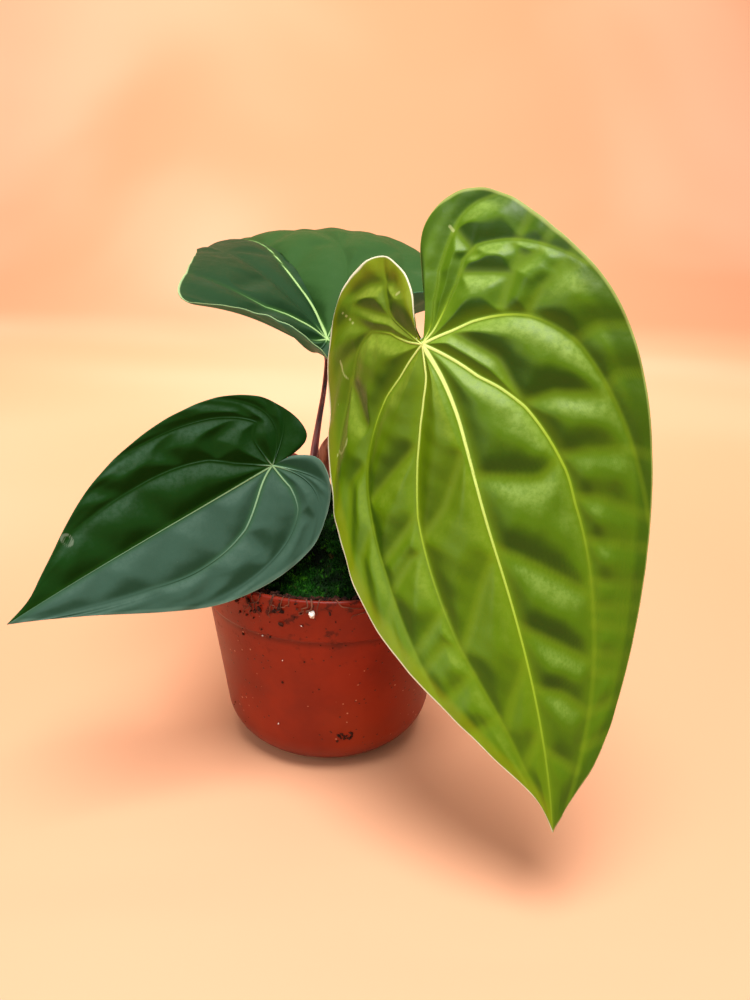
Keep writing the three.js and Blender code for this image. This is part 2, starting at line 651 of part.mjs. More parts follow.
function leafGeometry(leaf) {
  leaf.curve = new THREE.CubicBezierCurve3(...leaf.midrib.map((point) => new THREE.Vector3(...point)));
  leaf.faces = leaf.face.map((vector) => new THREE.Vector3(...vector).normalize());
  const [first, second] = leaf.halves;
  const list = columns(first, leaf.steps);
  const rays = [
    ...list.map((along) => ({ half: first, along })),
    { half: first, along: 12 },
    ...list.slice(1).reverse().map((along) => ({ half: second, along })),
  ];
  const nets = new Map(leaf.halves.map((half) => [half, veinNet(half)]));
  const upper = [];
  const lower = [];
  for (const { half, along } of rays) {
    const net = nets.get(half);
    for (let j = 1; j <= leaf.rows; j += 1) {
      const share = (j / leaf.rows) ** 1.1;
      const flat = fanPoint(half.outline, drifted(half, along, share), share);
      const toMain = Math.min(...net.main.map((chain) => distanceTo(flat, chain)));
      const toAny = Math.min(toMain, ...net.cross.map((chain) => distanceTo(flat, chain)));
      const swell = 1 - Math.exp(-((toAny / CUSHION_REACH) ** 1.3) * 2);
      const cushion = leaf.cushion * swell * (1 - 0.6 * share ** 6);
      const rib = RIB * Math.max(0, 1 - toMain / RIB_HALF_WIDTH) * (1 - share) ** 0.7;
      upper.push(bladePoint(leaf, half, flat, cushion));
      lower.push(bladePoint(leaf, half, flat, cushion - BLADE - rib));
    }
  }
  const centre = new THREE.Vector2(0, 0);
  const centreTop = bladePoint(leaf, first, centre, 0);
  const centreLow = bladePoint(leaf, first, centre, -BLADE - RIB);
  const corners = [centreTop, centreLow, ...upper, ...lower];
  const faces = bladeFaces(rays.length, leaf.rows, upper.length);
  return meshFrom(corners.flatMap((point) => point.toArray()), faces);
}

// Triangles of a blade: the same split on both faces, and a narrow strip round the margin
function bladeFaces(rayCount, rows, sheet) {
  const faces = [];
  for (let i = 0; i < rayCount; i += 1) {
    const next = (i + 1) % rayCount;
    const [here, there] = [2 + i * rows, 2 + next * rows];
    faces.push(0, there, here, 1, here + sheet, there + sheet);
    for (let j = 0; j < rows - 1; j += 1) {
      const [a, b, c, d] = [here + j, there + j, there + j + 1, here + j + 1];
      const split = i < rayCount / 2 ? [a, b, c, a, c, d] : [a, b, d, b, c, d];
      faces.push(...split);
      faces.push(...split.map((corner) => corner + sheet).reverse());
    }
    const [a, d] = [here + rows - 1, there + rows - 1];
    faces.push(a, d, a + sheet, d, d + sheet, a + sheet);
  }
  return faces;
}

// The plant put together
const plant = new THREE.Group();
plant.name = 'potted_anthurium_regale';

plant.add(node('pot', potGeometry(), 0x8a2a10, 0.45));
plant.add(node('soil', soilGeometry(), 0x2b1c12, 0.95));
plant.add(node('moss', mossGeometry(), 0x1c3a12, 0.95));
plant.add(node('stem', stemGeometry(), 0x4a3a22, 0.85));
plant.add(node('bract', bractGeometry(), 0x8a4a34, 0.7));
for (const petiole of PETIOLES) {
  plant.add(node(petiole.name, petioleGeometry(petiole), 0x5e1a16, 0.5));
}
for (const leaf of [FRONT_LEAF, LEFT_LEAF, BACK_LEAF]) {
  plant.add(node(leaf.name, leafGeometry(leaf), leaf.color, 0.42));
}

export default plant;
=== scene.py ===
import math

import bpy
import numpy as np
from mathutils import Matrix


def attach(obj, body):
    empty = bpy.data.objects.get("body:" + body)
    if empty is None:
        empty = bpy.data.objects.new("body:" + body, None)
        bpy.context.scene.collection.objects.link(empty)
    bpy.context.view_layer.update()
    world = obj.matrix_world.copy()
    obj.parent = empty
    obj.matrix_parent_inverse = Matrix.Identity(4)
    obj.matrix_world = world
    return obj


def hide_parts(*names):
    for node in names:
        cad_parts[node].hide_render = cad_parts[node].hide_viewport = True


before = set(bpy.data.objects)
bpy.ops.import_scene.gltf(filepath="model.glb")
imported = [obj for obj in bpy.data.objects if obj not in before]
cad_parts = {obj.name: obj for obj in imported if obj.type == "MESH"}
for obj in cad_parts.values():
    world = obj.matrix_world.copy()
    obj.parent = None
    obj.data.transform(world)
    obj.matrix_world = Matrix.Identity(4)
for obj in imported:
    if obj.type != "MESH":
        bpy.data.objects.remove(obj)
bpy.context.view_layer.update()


# Camera: it stands straight in front of the pot, level with the top of the plant, looks down
# on it, and leans by a degree or two as a hand-held camera does.
MM = 0.001
CAMERA_PLACE = np.array([0.0, -344.4, 236.7])
CAMERA_YAW, CAMERA_PITCH, CAMERA_ROLL = np.radians([3.35, 19.6, 1.72])
CAMERA_FOCAL = 28.8
CAMERA_SENSOR = 36.0


def unit(vector):
    """The vector, or each row of vectors, divided by its length."""
    return vector / np.linalg.norm(vector, axis=-1, keepdims=True)


def stand(item, right, up, back, spot):
    """Puts a camera or a lamp at a spot in metres, with its own axes along three directions."""
    item.matrix_world = Matrix([[right[k], up[k], back[k], spot[k]] for k in range(3)] + [[0, 0, 0, 1]])
    bpy.context.scene.collection.objects.link(item)


ahead = np.array([
    math.sin(CAMERA_YAW) * math.cos(CAMERA_PITCH),
    math.cos(CAMERA_YAW) * math.cos(CAMERA_PITCH),
    -math.sin(CAMERA_PITCH),
])
level = unit(np.cross(ahead, [0, 0, 1]))
upward = np.cross(level, ahead)
camera_right = math.cos(CAMERA_ROLL) * level + math.sin(CAMERA_ROLL) * upward
camera_up = math.cos(CAMERA_ROLL) * upward - math.sin(CAMERA_ROLL) * level
camera_data = bpy.data.cameras.new("camera")
camera_data.lens = CAMERA_FOCAL
camera_data.sensor_width = CAMERA_SENSOR
camera_data.sensor_height = CAMERA_SENSOR
camera_data.clip_start = 0.01
camera = bpy.data.objects.new("camera", camera_data)
stand(camera, camera_right, camera_up, -ahead, CAMERA_PLACE * MM)
bpy.context.scene.camera = camera


# Pot: one thin moulding of brick-red plastic, semi-gloss, with a shallow band under the rim,
# a rounded foot and a ring of drainage holes. It is dusty and has been splashed with soil.
POT_HEIGHT = 92.0
RIM_RADIUS = 60.0
WALL_FOOT_RADIUS = 46.3
WALL_TOP_RADIUS = 59.3
FOOT_ROUNDING = 20.0
WALL = 1.5
FLOOR = 2.4
BAND_HEIGHT = 20.0
BAND_STEP = 0.95
BAND_SOFT = 1.2
LIP = 1.05
DRAIN_HOLES = 6
DRAIN_RADIUS = 3.5
DRAIN_CIRCLE = 22.0


def linear(red, green, blue):
    """A display colour of 0 to 255 as scene-linear numbers with full alpha."""
    share = np.array([red, green, blue]) / 255
    low = share / 12.92
    high = ((share + 0.055) / 1.055) ** 2.4
    return (*np.where(share <= 0.04045, low, high).tolist(), 1.0)


def operator(operation, reflected=False):
    """An operator on node outputs that adds its Math node; a reflected one takes its number first."""
    def apply(self, other):
        first, second = (other, self) if reflected else (self, other)
        return self.finish.node("ShaderNodeMath", {0: first, 1: second}, operation=operation)
    return apply


class Value:
    """A node's output that takes part in sums."""

    def __init__(self, finish, socket):
        self.finish = finish
        self.socket = socket

    __add__, __radd__ = operator("ADD"), operator("ADD", True)
    __sub__, __rsub__ = operator("SUBTRACT"), operator("SUBTRACT", True)
    __mul__, __rmul__ = operator("MULTIPLY"), operator("MULTIPLY", True)
    __truediv__, __rtruediv__ = operator("DIVIDE"), operator("DIVIDE", True)


class Finish:
    """A material under work: node() adds any node, the other methods are its common uses."""

    def __init__(self, name):
        self.material = bpy.data.materials.new(name)
        self.material.use_nodes = True
        self.tree = self.material.node_tree
        self.tree.nodes.clear()

    def node(self, kind, inputs=None, output=0, **settings):
        """Adds a node: its settings first, then the values or links of its sockets."""
        made = self.tree.nodes.new(kind)
        for key, value in settings.items():
            setattr(made, key, value)
        for key, value in (inputs or {}).items():
            if isinstance(value, Value):
                self.tree.links.new(value.socket, made.inputs[key])
            else:
                made.inputs[key].default_value = value
        return Value(self, made.outputs[output])

    def place(self):
        """Object coordinates, in metres."""
        return self.node("ShaderNodeTexCoord", output="Object")

    def stretched(self, x, y, z):
        """Object coordinates with each axis scaled, which draws a pattern out along one of them."""
        return self.node("ShaderNodeMapping", {"Vector": self.place(), "Scale": (x, y, z)})

    def height(self):
        """Height above the floor, in metres."""
        return self.node("ShaderNodeSeparateXYZ", {"Vector": self.place()}, "Z")

    def noise(self, scale, vector=None, detail=3.0, rough=0.55, twist=0.0):
        inputs = {"Vector": vector or self.place(), "Scale": scale}
        inputs.update({"Detail": detail, "Roughness": rough, "Distortion": twist})
        return self.node("ShaderNodeTexNoise", inputs)

    def cells(self, scale, feature="F1"):
        inputs = {"Vector": self.place(), "Scale": scale}
        return self.node("ShaderNodeTexVoronoi", inputs, "Distance", feature=feature)

    def stored(self, name):
        """A number kept on the piece's own vertices."""
        return self.node("ShaderNodeAttribute", output="Fac", attribute_name=name)

    def step(self, value, low, high, low_to=0.0, high_to=1.0):
        """Smooth change from low_to to high_to while the value goes from low to high."""
        inputs = {"Value": value, "From Min": low, "From Max": high, "To Min": low_to, "To Max": high_to}
        return self.node("ShaderNodeMapRange", inputs, interpolation_type="SMOOTHSTEP")

    def mix(self, factor, first, second):
        """Colour: first where the factor is 0, second where it is 1."""
        return self.node("ShaderNodeMix", {0: factor, 6: first, 7: second}, 2, data_type="RGBA")

    def shade(self, value, low, high, first, second):
        """Colour: first where the value is below low, second where it is above high."""
        return self.mix(self.step(value, low, high), first, second)

    def bump(self, height, strength, distance):
        return self.node("ShaderNodeBump", {"Height": height, "Strength": strength, "Distance": distance})

    def surface(self, colour, roughness, normal, **constants):
        """Ends the material in one Principled shader; constants are set on its own sockets."""
        inputs = {"Base Color": colour, "Roughness": roughness, "Normal": normal}
        for key, value in constants.items():
            inputs[key.replace("_", " ").title().replace("Ior", "IOR")] = value
        shader = self.node("ShaderNodeBsdfPrincipled", inputs)
        output = self.tree.nodes.new("ShaderNodeOutputMaterial")
        self.tree.links.new(shader.socket, output.inputs["Surface"])
        return self.material


def angles(count):
    """Equal steps round a full turn."""
    return np.linspace(0, 2 * np.pi, count, endpoint=False)


def polar(radius, angle, height):
    """Points at a radius and an angle round the Z axis, at a height."""
    return np.stack(np.broadcast_arrays(radius * np.cos(angle), radius * np.sin(angle), height), -1)


def grid_faces(rows, columns, around=True):
    """Quads between neighbouring rows of a grid; around also joins the last column to the first."""
    row = np.arange(rows - 1)[:, None] * columns
    column = np.arange(columns if around else columns - 1)[None, :]
    after = (column + 1) % columns
    quads = [row + column, row + after, row + columns + after, row + columns + column]
    return np.stack(quads, -1).reshape(-1, 4)


def capped_faces(rows, sides):
    """Faces of a grid that goes round and is closed by two more points: its first end and its last."""
    first, last, top = rows * sides, rows * sides + 1, (rows - 1) * sides
    faces = grid_faces(rows, sides).tolist()
    faces += [[(k + 1) % sides, k, first] for k in range(sides)]
    return faces + [[top + k, top + (k + 1) % sides, last] for k in range(sides)]


def turned(profile, sides):
    """A profile of [radius, height] rows carried round the Z axis, with its two ends on the axis."""
    profile = np.asarray(profile, float)
    rings = polar(profile[1:-1, :1], angles(sides), profile[1:-1, 1:])
    ends = [[0, 0, profile[0, 1]], [0, 0, profile[-1, 1]]]
    return np.concatenate([rings.reshape(-1, 3), ends]), capped_faces(len(profile) - 2, sides)


def new_object(name, points, faces, material=None, smooth=True):
    """A mesh object from points in millimetres and lists of corner numbers."""
    mesh = bpy.data.meshes.new(name)
    mesh.from_pydata((np.asarray(points) * MM).tolist(), [], [list(face) for face in faces])
    mesh.polygons.foreach_set("use_smooth", np.full(len(mesh.polygons), smooth))
    if material:
        mesh.materials.append(material)
    mesh.update()
    made = bpy.data.objects.new(name, mesh)
    bpy.context.scene.collection.objects.link(made)
    return made


def new_piece(name, points, faces, material, smooth=True, attributes=None):
    """A mesh object that rides on the root, with the attributes' numbers kept on its vertices."""
    made = new_object(name, points, faces, material, smooth)
    for key, values in (attributes or {}).items():
        stored = made.data.attributes.new(key, "FLOAT", "POINT")
        stored.data.foreach_set("value", np.asarray(values, np.float32))
    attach(made, "root")
    return made


def wall_radius(height):
    """The plain wall: a straight taper from its foot to its top."""
    return WALL_FOOT_RADIUS + (WALL_TOP_RADIUS - WALL_FOOT_RADIUS) * height / POT_HEIGHT


def foot_arc(inset, count):
    """The rounded foot, from the flat bottom up to the wall, drawn inwards by an inset."""
    lean = math.atan((WALL_TOP_RADIUS - WALL_FOOT_RADIUS) / POT_HEIGHT)
    turn = math.pi / 2 - lean
    centre = WALL_FOOT_RADIUS - FOOT_ROUNDING * math.tan(turn / 2)
    angle = np.linspace(0, turn, count)
    radius = FOOT_ROUNDING - inset
    return np.stack([centre + radius * np.sin(angle), FOOT_ROUNDING - radius * np.cos(angle)], -1)


def pot_profile():
    """Outside from the bottom's centre up to the rounded rim, then down the inside."""
    rise = np.linspace(0, 1, 9)
    height = POT_HEIGHT - BAND_HEIGHT + BAND_SOFT * (2 * rise - 1)
    step = np.stack([wall_radius(height) + BAND_STEP * rise * rise * (3 - 2 * rise), height], -1)
    angle = np.linspace(-0.4, math.pi + 0.3, 13)
    lip = [RIM_RADIUS - LIP - 0.1, POT_HEIGHT - LIP] + LIP * np.stack([np.cos(angle), np.sin(angle)], -1)
    inner = foot_arc(WALL, 14)[1:][::-1]
    corner = [[WALL_FOOT_RADIUS - FOOT_ROUNDING, FLOOR], [0, FLOOR]]
    return np.concatenate([[[0, 0]], foot_arc(0, 18), step, lip, inner, corner])


def cut(piece, points, faces):
    """Cuts the solid of the points and faces out of the piece, and keeps the result as its mesh."""
    tool = new_object("cutter", points, faces, smooth=False)
    modifier = piece.modifiers.new("cut", "BOOLEAN")
    modifier.operation = "DIFFERENCE"
    modifier.solver = "EXACT"
    modifier.object = tool
    bpy.context.view_layer.update()
    whole = bpy.data.meshes.new_from_object(piece.evaluated_get(bpy.context.evaluated_depsgraph_get()))
    piece.modifiers.clear()
    piece.data = whole
    bpy.data.objects.remove(tool)


def pot_finish():
    """Brick-red plastic: cloudy in tone, paler where it is scuffed, with a painted line of shade under the
    band, dirt at the foot and near the rim, and pale dust and dark specks all over."""
    finish = Finish("pot_plastic")
    height = finish.height()
    clouds = finish.noise(28, detail=4)
    colour = finish.shade(clouds, 0.35, 0.68, linear(118, 24, 1), linear(140, 34, 3))
    film = finish.noise(11, detail=2)
    colour = finish.mix(finish.step(film, 0.52, 0.75, 0, 0.3), colour, linear(168, 72, 36))
    foot = finish.step(height, 0.0, 0.018, 0.7, 0.0) * finish.noise(60, detail=4)
    colour = finish.mix(foot, colour, linear(70, 34, 22))
    # Painted shade: a dark line just under the band's step, where its shadow falls.
    crease = finish.step(height, 0.0680, 0.0714) * finish.step(height, 0.0736, 0.0716)
    colour = finish.mix(crease * 0.55, colour, linear(76, 12, 3))
    grime_zone = finish.step(height, 0.05, 0.088)
    grime = finish.step(finish.noise(150, detail=6, rough=0.7), 0.56, 0.66) * grime_zone
    colour = finish.mix(grime * 0.8, colour, linear(52, 20, 14))
    specks = finish.step(finish.cells(330), 0.18, 0.1) * finish.step(finish.noise(45), 0.5, 0.56)
    colour = finish.mix(specks * 0.85, colour, linear(60, 16, 10))
    dust = finish.step(finish.cells(240), 0.13, 0.08) * finish.step(finish.noise(37, twist=1), 0.55, 0.6)
    colour = finish.mix(dust * 0.7, colour, linear(214, 150, 120))
    rough = finish.step(clouds, 0.2, 0.8, 0.36, 0.5) + grime * 0.3
    grain = finish.noise(900, detail=2) * 0.15 + dust * 0.9 + specks * 0.6
    return finish.surface(colour, rough, finish.bump(grain, 0.35, 0.0006), specular_ior_level=0.22)


pot = new_piece("nursery_pot", *turned(pot_profile(), 192), pot_finish())
for hole in range(DRAIN_HOLES):
    turn = 2 * math.pi * (hole + 0.5) / DRAIN_HOLES
    hole_points, hole_faces = turned([[0, -5], [DRAIN_RADIUS, -5], [DRAIN_RADIUS, 8], [0, 8]], 32)
    cut(pot, hole_points + polar(DRAIN_CIRCLE, turn, 0), hole_faces)
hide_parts("pot")


# Soil: a dark, crumbly mix of peat and bark that fills the pot to just under the rim.
# Only its lumpy fringe shows round the moss; the stem stands in a hole in it.
GAP = 0.3
SOIL_TOP = 87.5
STEM_X, STEM_Y = -7.0, 2.0
STEM_RADIUS = 7.2
STEM_FOOT = 42.0
SOIL_ROWS = 46


def lumps(x, y, z=0.0):
    """Smooth ups and downs of about -1 to 1: two products of sine waves of different lengths."""
    first = np.sin(x * 0.61 + 1.3) * np.cos(y * 0.53 - z * 0.31 + 0.4)
    second = np.sin(x * 0.27 - y * 0.41 + 2.1) * np.cos(z * 0.37 + 0.8)
    return 0.55 * first + 0.45 * second


def rings_about(radii, heights, shares, sides):
    """Rings that slide from the stem's axis, at share 0, to the pot's axis, at share 1."""
    radii, heights, shares = (np.asarray(row, float)[:, None] for row in (radii, heights, shares))
    centres = np.stack([STEM_X * (1 - shares), STEM_Y * (1 - shares), 0 * shares], -1)
    return centres + polar(radii, angles(sides), heights)


def closed_rings(rings):
    """A ring-shaped solid: the grid's rows join in a loop and so do its columns."""
    rows, columns = rings.shape[:2]
    faces = grid_faces(rows, columns)
    first = np.arange(columns)
    last = first + (rows - 1) * columns
    loop = np.stack([last, np.roll(last, -1), np.roll(first, -1), first], -1)
    return rings.reshape(-1, 3), np.concatenate([faces, loop])


def soil_rings():
    """Up the stem hole, out over the lumpy top, down along the pot's wall and back underneath."""
    hole = STEM_RADIUS + GAP
    top = np.linspace(0, 1, SOIL_ROWS)
    outer = wall_radius(POT_HEIGHT - 5) - WALL - 2 * GAP
    foot = foot_arc(WALL + 2 * GAP, 8)[::-1]
    radii = [hole, *(hole + (outer - hole) * top), *foot[:, 0], hole]
    heights = [STEM_FOOT - GAP, *(SOIL_TOP + 0 * top), *foot[:, 1], FLOOR + GAP]
    shares = [0, *top, *np.ones(len(foot)), 0]
    rings = rings_about(radii, heights, shares, 220)
    crust = rings[1:SOIL_ROWS + 1]
    x, y = crust[..., 0], crust[..., 1]
    out = np.hypot(x, y) / outer
    crumble = 0.8 * lumps(x * 2, y * 2) + 0.5 * lumps(x * 5, y * 5, 3) + 0.3 * lumps(y * 11, x * 11, 7)
    crust[..., 2] += crumble * (top[:, None] > 0.04) + 2.6 * np.clip((out - 0.9) / 0.1, 0, 1)
    return rings


def soil_finish(name, dark, light):
    """Peat and bark: near black with brown flecks, dull and deeply broken up."""
    finish = Finish(name)
    fleck = finish.noise(420, detail=6, rough=0.75)
    colour = finish.shade(fleck, 0.42, 0.66, dark, light)
    grain = finish.noise(700, detail=5, rough=0.7)
    return finish.surface(colour, 0.95, finish.bump(grain, 0.9, 0.0012), specular_ior_level=0.25)


potting_mix = soil_finish("potting_mix", linear(16, 9, 6), linear(62, 38, 24))
soil = new_piece("potting_soil", *closed_rings(soil_rings()), potting_mix)
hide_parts("soil")


# Crumbs: loose bits of peat and bark on the soil's fringe, over the rim and stuck to the pot's
# outside, thickest on the pot's front left. They are splashed on by watering.
ICO_LONG = (1 + math.sqrt(5)) / 2
ICO_POINTS = np.array([
    [-1, ICO_LONG, 0], [1, ICO_LONG, 0], [-1, -ICO_LONG, 0], [1, -ICO_LONG, 0],
    [0, -1, ICO_LONG], [0, 1, ICO_LONG], [0, -1, -ICO_LONG], [0, 1, -ICO_LONG],
    [ICO_LONG, 0, -1], [ICO_LONG, 0, 1], [-ICO_LONG, 0, -1], [-ICO_LONG, 0, 1],
]) / math.hypot(1, ICO_LONG)
ICO_FACES = np.array([
    [0, 11, 5], [0, 5, 1], [0, 1, 7], [0, 7, 10], [0, 10, 11], [1, 5, 9], [5, 11, 4], [11, 10, 2],
    [10, 7, 6], [7, 1, 8], [3, 9, 4], [3, 4, 2], [3, 2, 6], [3, 6, 8], [3, 8, 9], [4, 9, 5],
    [2, 4, 11], [6, 2, 10], [8, 6, 7], [9, 8, 1],
])


def grains(centres, sizes, uneven, rng):
    """Uneven twenty-faced lumps: an icosahedron's corners pushed in and out, stretched and turned."""
    count = len(centres)
    push = 1 + uneven * rng.uniform(-1, 1, (count, 12, 1))
    stretch = rng.uniform(0.6, 1.3, (count, 1, 3))
    spin = np.linalg.qr(rng.normal(size=(count, 3, 3)))[0]
    spin *= np.sign(np.linalg.det(spin))[:, None, None]
    points = np.einsum("nij,nkj->nki", spin, ICO_POINTS[None] * push * stretch)
    points = centres[:, None, :] + points * np.asarray(sizes)[:, None, None]
    faces = ICO_FACES[None] + 12 * np.arange(count)[:, None, None]
    return points.reshape(-1, 3), faces.reshape(-1, 3)


def on_pot(angle, height, out=0.0):
    """Points on the pot's outer wall at angles in radians and heights in millimetres."""
    height = np.asarray(height, float)
    centre = foot_arc(0, 2)[0, 0]
    round_foot = centre + np.sqrt(np.clip(FOOT_ROUNDING**2 - (FOOT_ROUNDING - height) ** 2, 0, None))
    straight = wall_radius(height) + BAND_STEP * (height > POT_HEIGHT - BAND_HEIGHT)
    return polar(np.where(height < FOOT_ROUNDING * 0.8, round_foot, straight) + out, angle, height)


crumb_rng = np.random.default_rng(11)
FRINGE_CRUMBS = 950
fringe_angle = crumb_rng.uniform(0, 2 * np.pi, FRINGE_CRUMBS)
fringe_radius = 57.2 - crumb_rng.gamma(1.6, 2.2, FRINGE_CRUMBS)
fringe_height = SOIL_TOP + 0.6 + 2.0 * np.clip((fringe_radius - 50) / 6, 0, 1)
fringe_height = fringe_height + crumb_rng.uniform(0, 1.4, FRINGE_CRUMBS)
RIM_CRUMBS = 110
rim_angle = np.radians(np.where(
    crumb_rng.random(RIM_CRUMBS) < 0.6,
    crumb_rng.normal(-122, 13, RIM_CRUMBS),
    crumb_rng.uniform(-180, 180, RIM_CRUMBS),
))
rim_height = POT_HEIGHT - 0.5 - crumb_rng.gamma(1.2, 4.5, RIM_CRUMBS).clip(0, 34)
SPLASHES = 46
splash_angle = crumb_rng.uniform(-np.pi, np.pi, SPLASHES)
splash_height = crumb_rng.uniform(12, 84, SPLASHES)
SMUDGE = 16
smudge_angle = np.radians(crumb_rng.normal(-82.6, 2.6, SMUDGE))
smudge_height = crumb_rng.normal(21.5, 1.4, SMUDGE)
stuck = np.concatenate([
    on_pot(rim_angle, rim_height, 0.1),
    on_pot(splash_angle, splash_height, 0.0),
    on_pot(smudge_angle, smudge_height, 0.0),
])
crumb_centres = np.concatenate([polar(fringe_radius, fringe_angle, fringe_height), stuck])
crumb_sizes = np.concatenate([
    crumb_rng.gamma(3, 0.3, FRINGE_CRUMBS).clip(0.3, 2.0),
    crumb_rng.gamma(2.2, 0.22, RIM_CRUMBS).clip(0.25, 1.2),
    crumb_rng.uniform(0.18, 0.5, SPLASHES),
    crumb_rng.uniform(0.35, 0.9, SMUDGE),
])
crumb_mix = soil_finish("crumbs", linear(30, 11, 6), linear(92, 44, 28))
crumb_lumps = grains(crumb_centres, crumb_sizes, 0.35, crumb_rng)
crumbs = new_piece("soil_crumbs", *crumb_lumps, crumb_mix, smooth=False)


# Perlite: white, puffed volcanic grains in the mix, some of them splashed onto the pot.
# One hangs on a rootlet at the front rim, and a few lie on the soil and the moss. The rows are
# each grain's angle round the pot in degrees, its height and its size in millimetres.
PERLITE_PLACES = np.array([
    [-96.8, 86.6, 1.9], [-71.5, 83.6, 0.4], [-59.5, 76.0, 0.35], [-119.0, 71.5, 0.45],
    [-110.5, 61.0, 0.35], [-115.8, 25.4, 0.4], [-101.0, 80.5, 0.35], [64.0, 89.0, 1.3], [150.0, 88.0, 1.5],
])
SCATTERED = 26


def perlite_finish():
    """Chalky white foam rock with small dark pits."""
    finish = Finish("perlite")
    pits = finish.noise(1400, detail=4)
    colour = finish.shade(pits, 0.3, 0.6, linear(176, 158, 142), linear(244, 238, 230))
    return finish.surface(colour, 0.9, finish.bump(pits, 0.6, 0.0005))


perlite_rng = np.random.default_rng(5)
perlite_angle = perlite_rng.uniform(0, 2 * np.pi, SCATTERED)
perlite_out = perlite_rng.uniform(46, 56, SCATTERED)
perlite_centres = np.concatenate([
    on_pot(np.radians(PERLITE_PLACES[:, 0]), PERLITE_PLACES[:, 1], 0.5),
    polar(perlite_out, perlite_angle, SOIL_TOP + 2.2),
])
perlite_sizes = np.concatenate([PERLITE_PLACES[:, 2], perlite_rng.uniform(0.5, 1.6, SCATTERED)])
perlite_lumps = grains(perlite_centres, perlite_sizes, 0.16, perlite_rng)
perlite = new_piece("perlite_grains", *perlite_lumps, perlite_finish(), smooth=False)


# Rootlets: fine brown roots that creep out of the soil, over the rim and down the pot's outside,
# thickest at the front left, and a stouter one that carries the hanging grain of perlite.
ROOTLET_ROWS = 26


def curve_through(points, count):
    """A centripetal Catmull-Rom curve through the points, sampled at equal steps of its length."""
    points = np.asarray(points, float)
    ends = np.concatenate([[2 * points[0] - points[1]], points, [2 * points[-1] - points[-2]]])
    samples = []
    for i in range(1, len(ends) - 2):
        p0, p1, p2, p3 = ends[i - 1:i + 3]
        d0, d1, d2 = np.linalg.norm([p1 - p0, p2 - p1, p3 - p2], axis=1) ** 0.5
        start = ((p1 - p0) / d0 - (p2 - p0) / (d0 + d1) + (p2 - p1) / d1) * d1
        end = ((p2 - p1) / d1 - (p3 - p1) / (d1 + d2) + (p3 - p2) / d2) * d1
        t = np.linspace(0, 1, 60, endpoint=False)[:, None]
        square, cubic = 3 * p2 - 3 * p1 - 2 * start - end, 2 * p1 - 2 * p2 + start + end
        samples.append(p1 + start * t + square * t**2 + cubic * t**3)
    samples = np.concatenate([*samples, points[-1:]])
    length = np.concatenate([[0], np.cumsum(np.linalg.norm(np.diff(samples, axis=0), axis=1))])
    even = np.linspace(0, length[-1], count)
    return np.stack([np.interp(even, length, samples[:, axis]) for axis in range(3)], -1)


def tube(path, radii, sides):
    """A round rod along a path: each ring is square to the path and turned as little as can be."""
    path = np.asarray(path, float)
    tangent = unit(np.gradient(path, axis=0))
    across = np.zeros_like(path)
    across[0] = unit(np.cross(tangent[0], [0.31, 0.83, 0.46]))
    for i in range(1, len(path)):
        across[i] = unit(across[i - 1] - tangent[i] * (across[i - 1] @ tangent[i]))
    other = np.cross(tangent, across)
    angle = angles(sides)[None, :, None]
    ring = across[:, None] * np.cos(angle) + other[:, None] * np.sin(angle)
    rings = path[:, None] + ring * np.asarray(radii)[:, None, None]
    return np.concatenate([rings.reshape(-1, 3), path[:1], path[-1:]]), capped_faces(len(path), sides)


def joined(parts):
    """Several point and face lists as one."""
    points, faces, count = [], [], 0
    for part_points, part_faces in parts:
        points.append(part_points)
        faces += [[corner + count for corner in face] for face in part_faces]
        count += len(part_points)
    return np.concatenate(points), faces


def rootlet_over_rim(start, length, sway, rng):
    """From the soil up over the lip at an angle, then down the wall, swaying from side to side."""
    inside = polar(RIM_RADIUS - 4.5, start, POT_HEIGHT - 2.5)
    lip = polar(RIM_RADIUS - 1, start, POT_HEIGHT + 0.5)
    steps = np.linspace(0.15, 1, 5)
    angles = start + sway * steps + rng.normal(0, 0.015, 5)
    outside = on_pot(angles, POT_HEIGHT - 1.5 - length * steps, 0.35)
    return curve_through([inside, lip, *outside], ROOTLET_ROWS)


def root_finish():
    """Earthy brown, paler in places, and slightly rough."""
    finish = Finish("rootlets")
    tone = finish.noise(160, detail=3)
    colour = finish.shade(tone, 0.35, 0.65, linear(54, 22, 12), linear(116, 64, 40))
    return finish.surface(colour, 0.7, finish.bump(finish.noise(1500), 0.3, 0.0003))


root_rng = np.random.default_rng(23)
path = rootlet_over_rim(math.radians(-97.2), 3.6, 0.004, root_rng)
root_parts = [tube(path, np.linspace(0.5, 0.35, ROOTLET_ROWS), 7)]
for _ in range(16):
    start = math.radians(root_rng.normal(-118, 16))
    path = rootlet_over_rim(start, root_rng.uniform(2, 11), root_rng.normal(0, 0.1), root_rng)
    root_parts.append(tube(path, np.linspace(0.28, 0.12, ROOTLET_ROWS), 6))
for _ in range(14):
    start = root_rng.uniform(-math.pi, math.pi)
    path = rootlet_over_rim(start, root_rng.uniform(1, 7), root_rng.normal(0, 0.08), root_rng)
    root_parts.append(tube(path, np.linspace(0.26, 0.12, ROOTLET_ROWS), 6))
rootlets = new_piece("rootlets", *joined(root_parts), root_finish())


# Moss: a live, dark green cushion on the soil that climbs the stem. A closed mound carries it,
# and thousands of short shoots stand out of the mound, as they do in a real cushion.
STEM_TOP = 124.0
MOSS_HOLE = 8.2
MOSS_LOW = SOIL_TOP + GAP
MOSS_BROW = 2.4
MOSS_TOP = 25.0
MOSS_EDGE = 50.0
COLLAR = 12.5
SHOOTS = 15000


def moss_edge(angle):
    """A ragged edge: a circle with three broad waves and seven small ones."""
    return MOSS_EDGE + 2.2 * np.sin(3 * angle + 0.5) + 1.2 * np.sin(7 * angle)


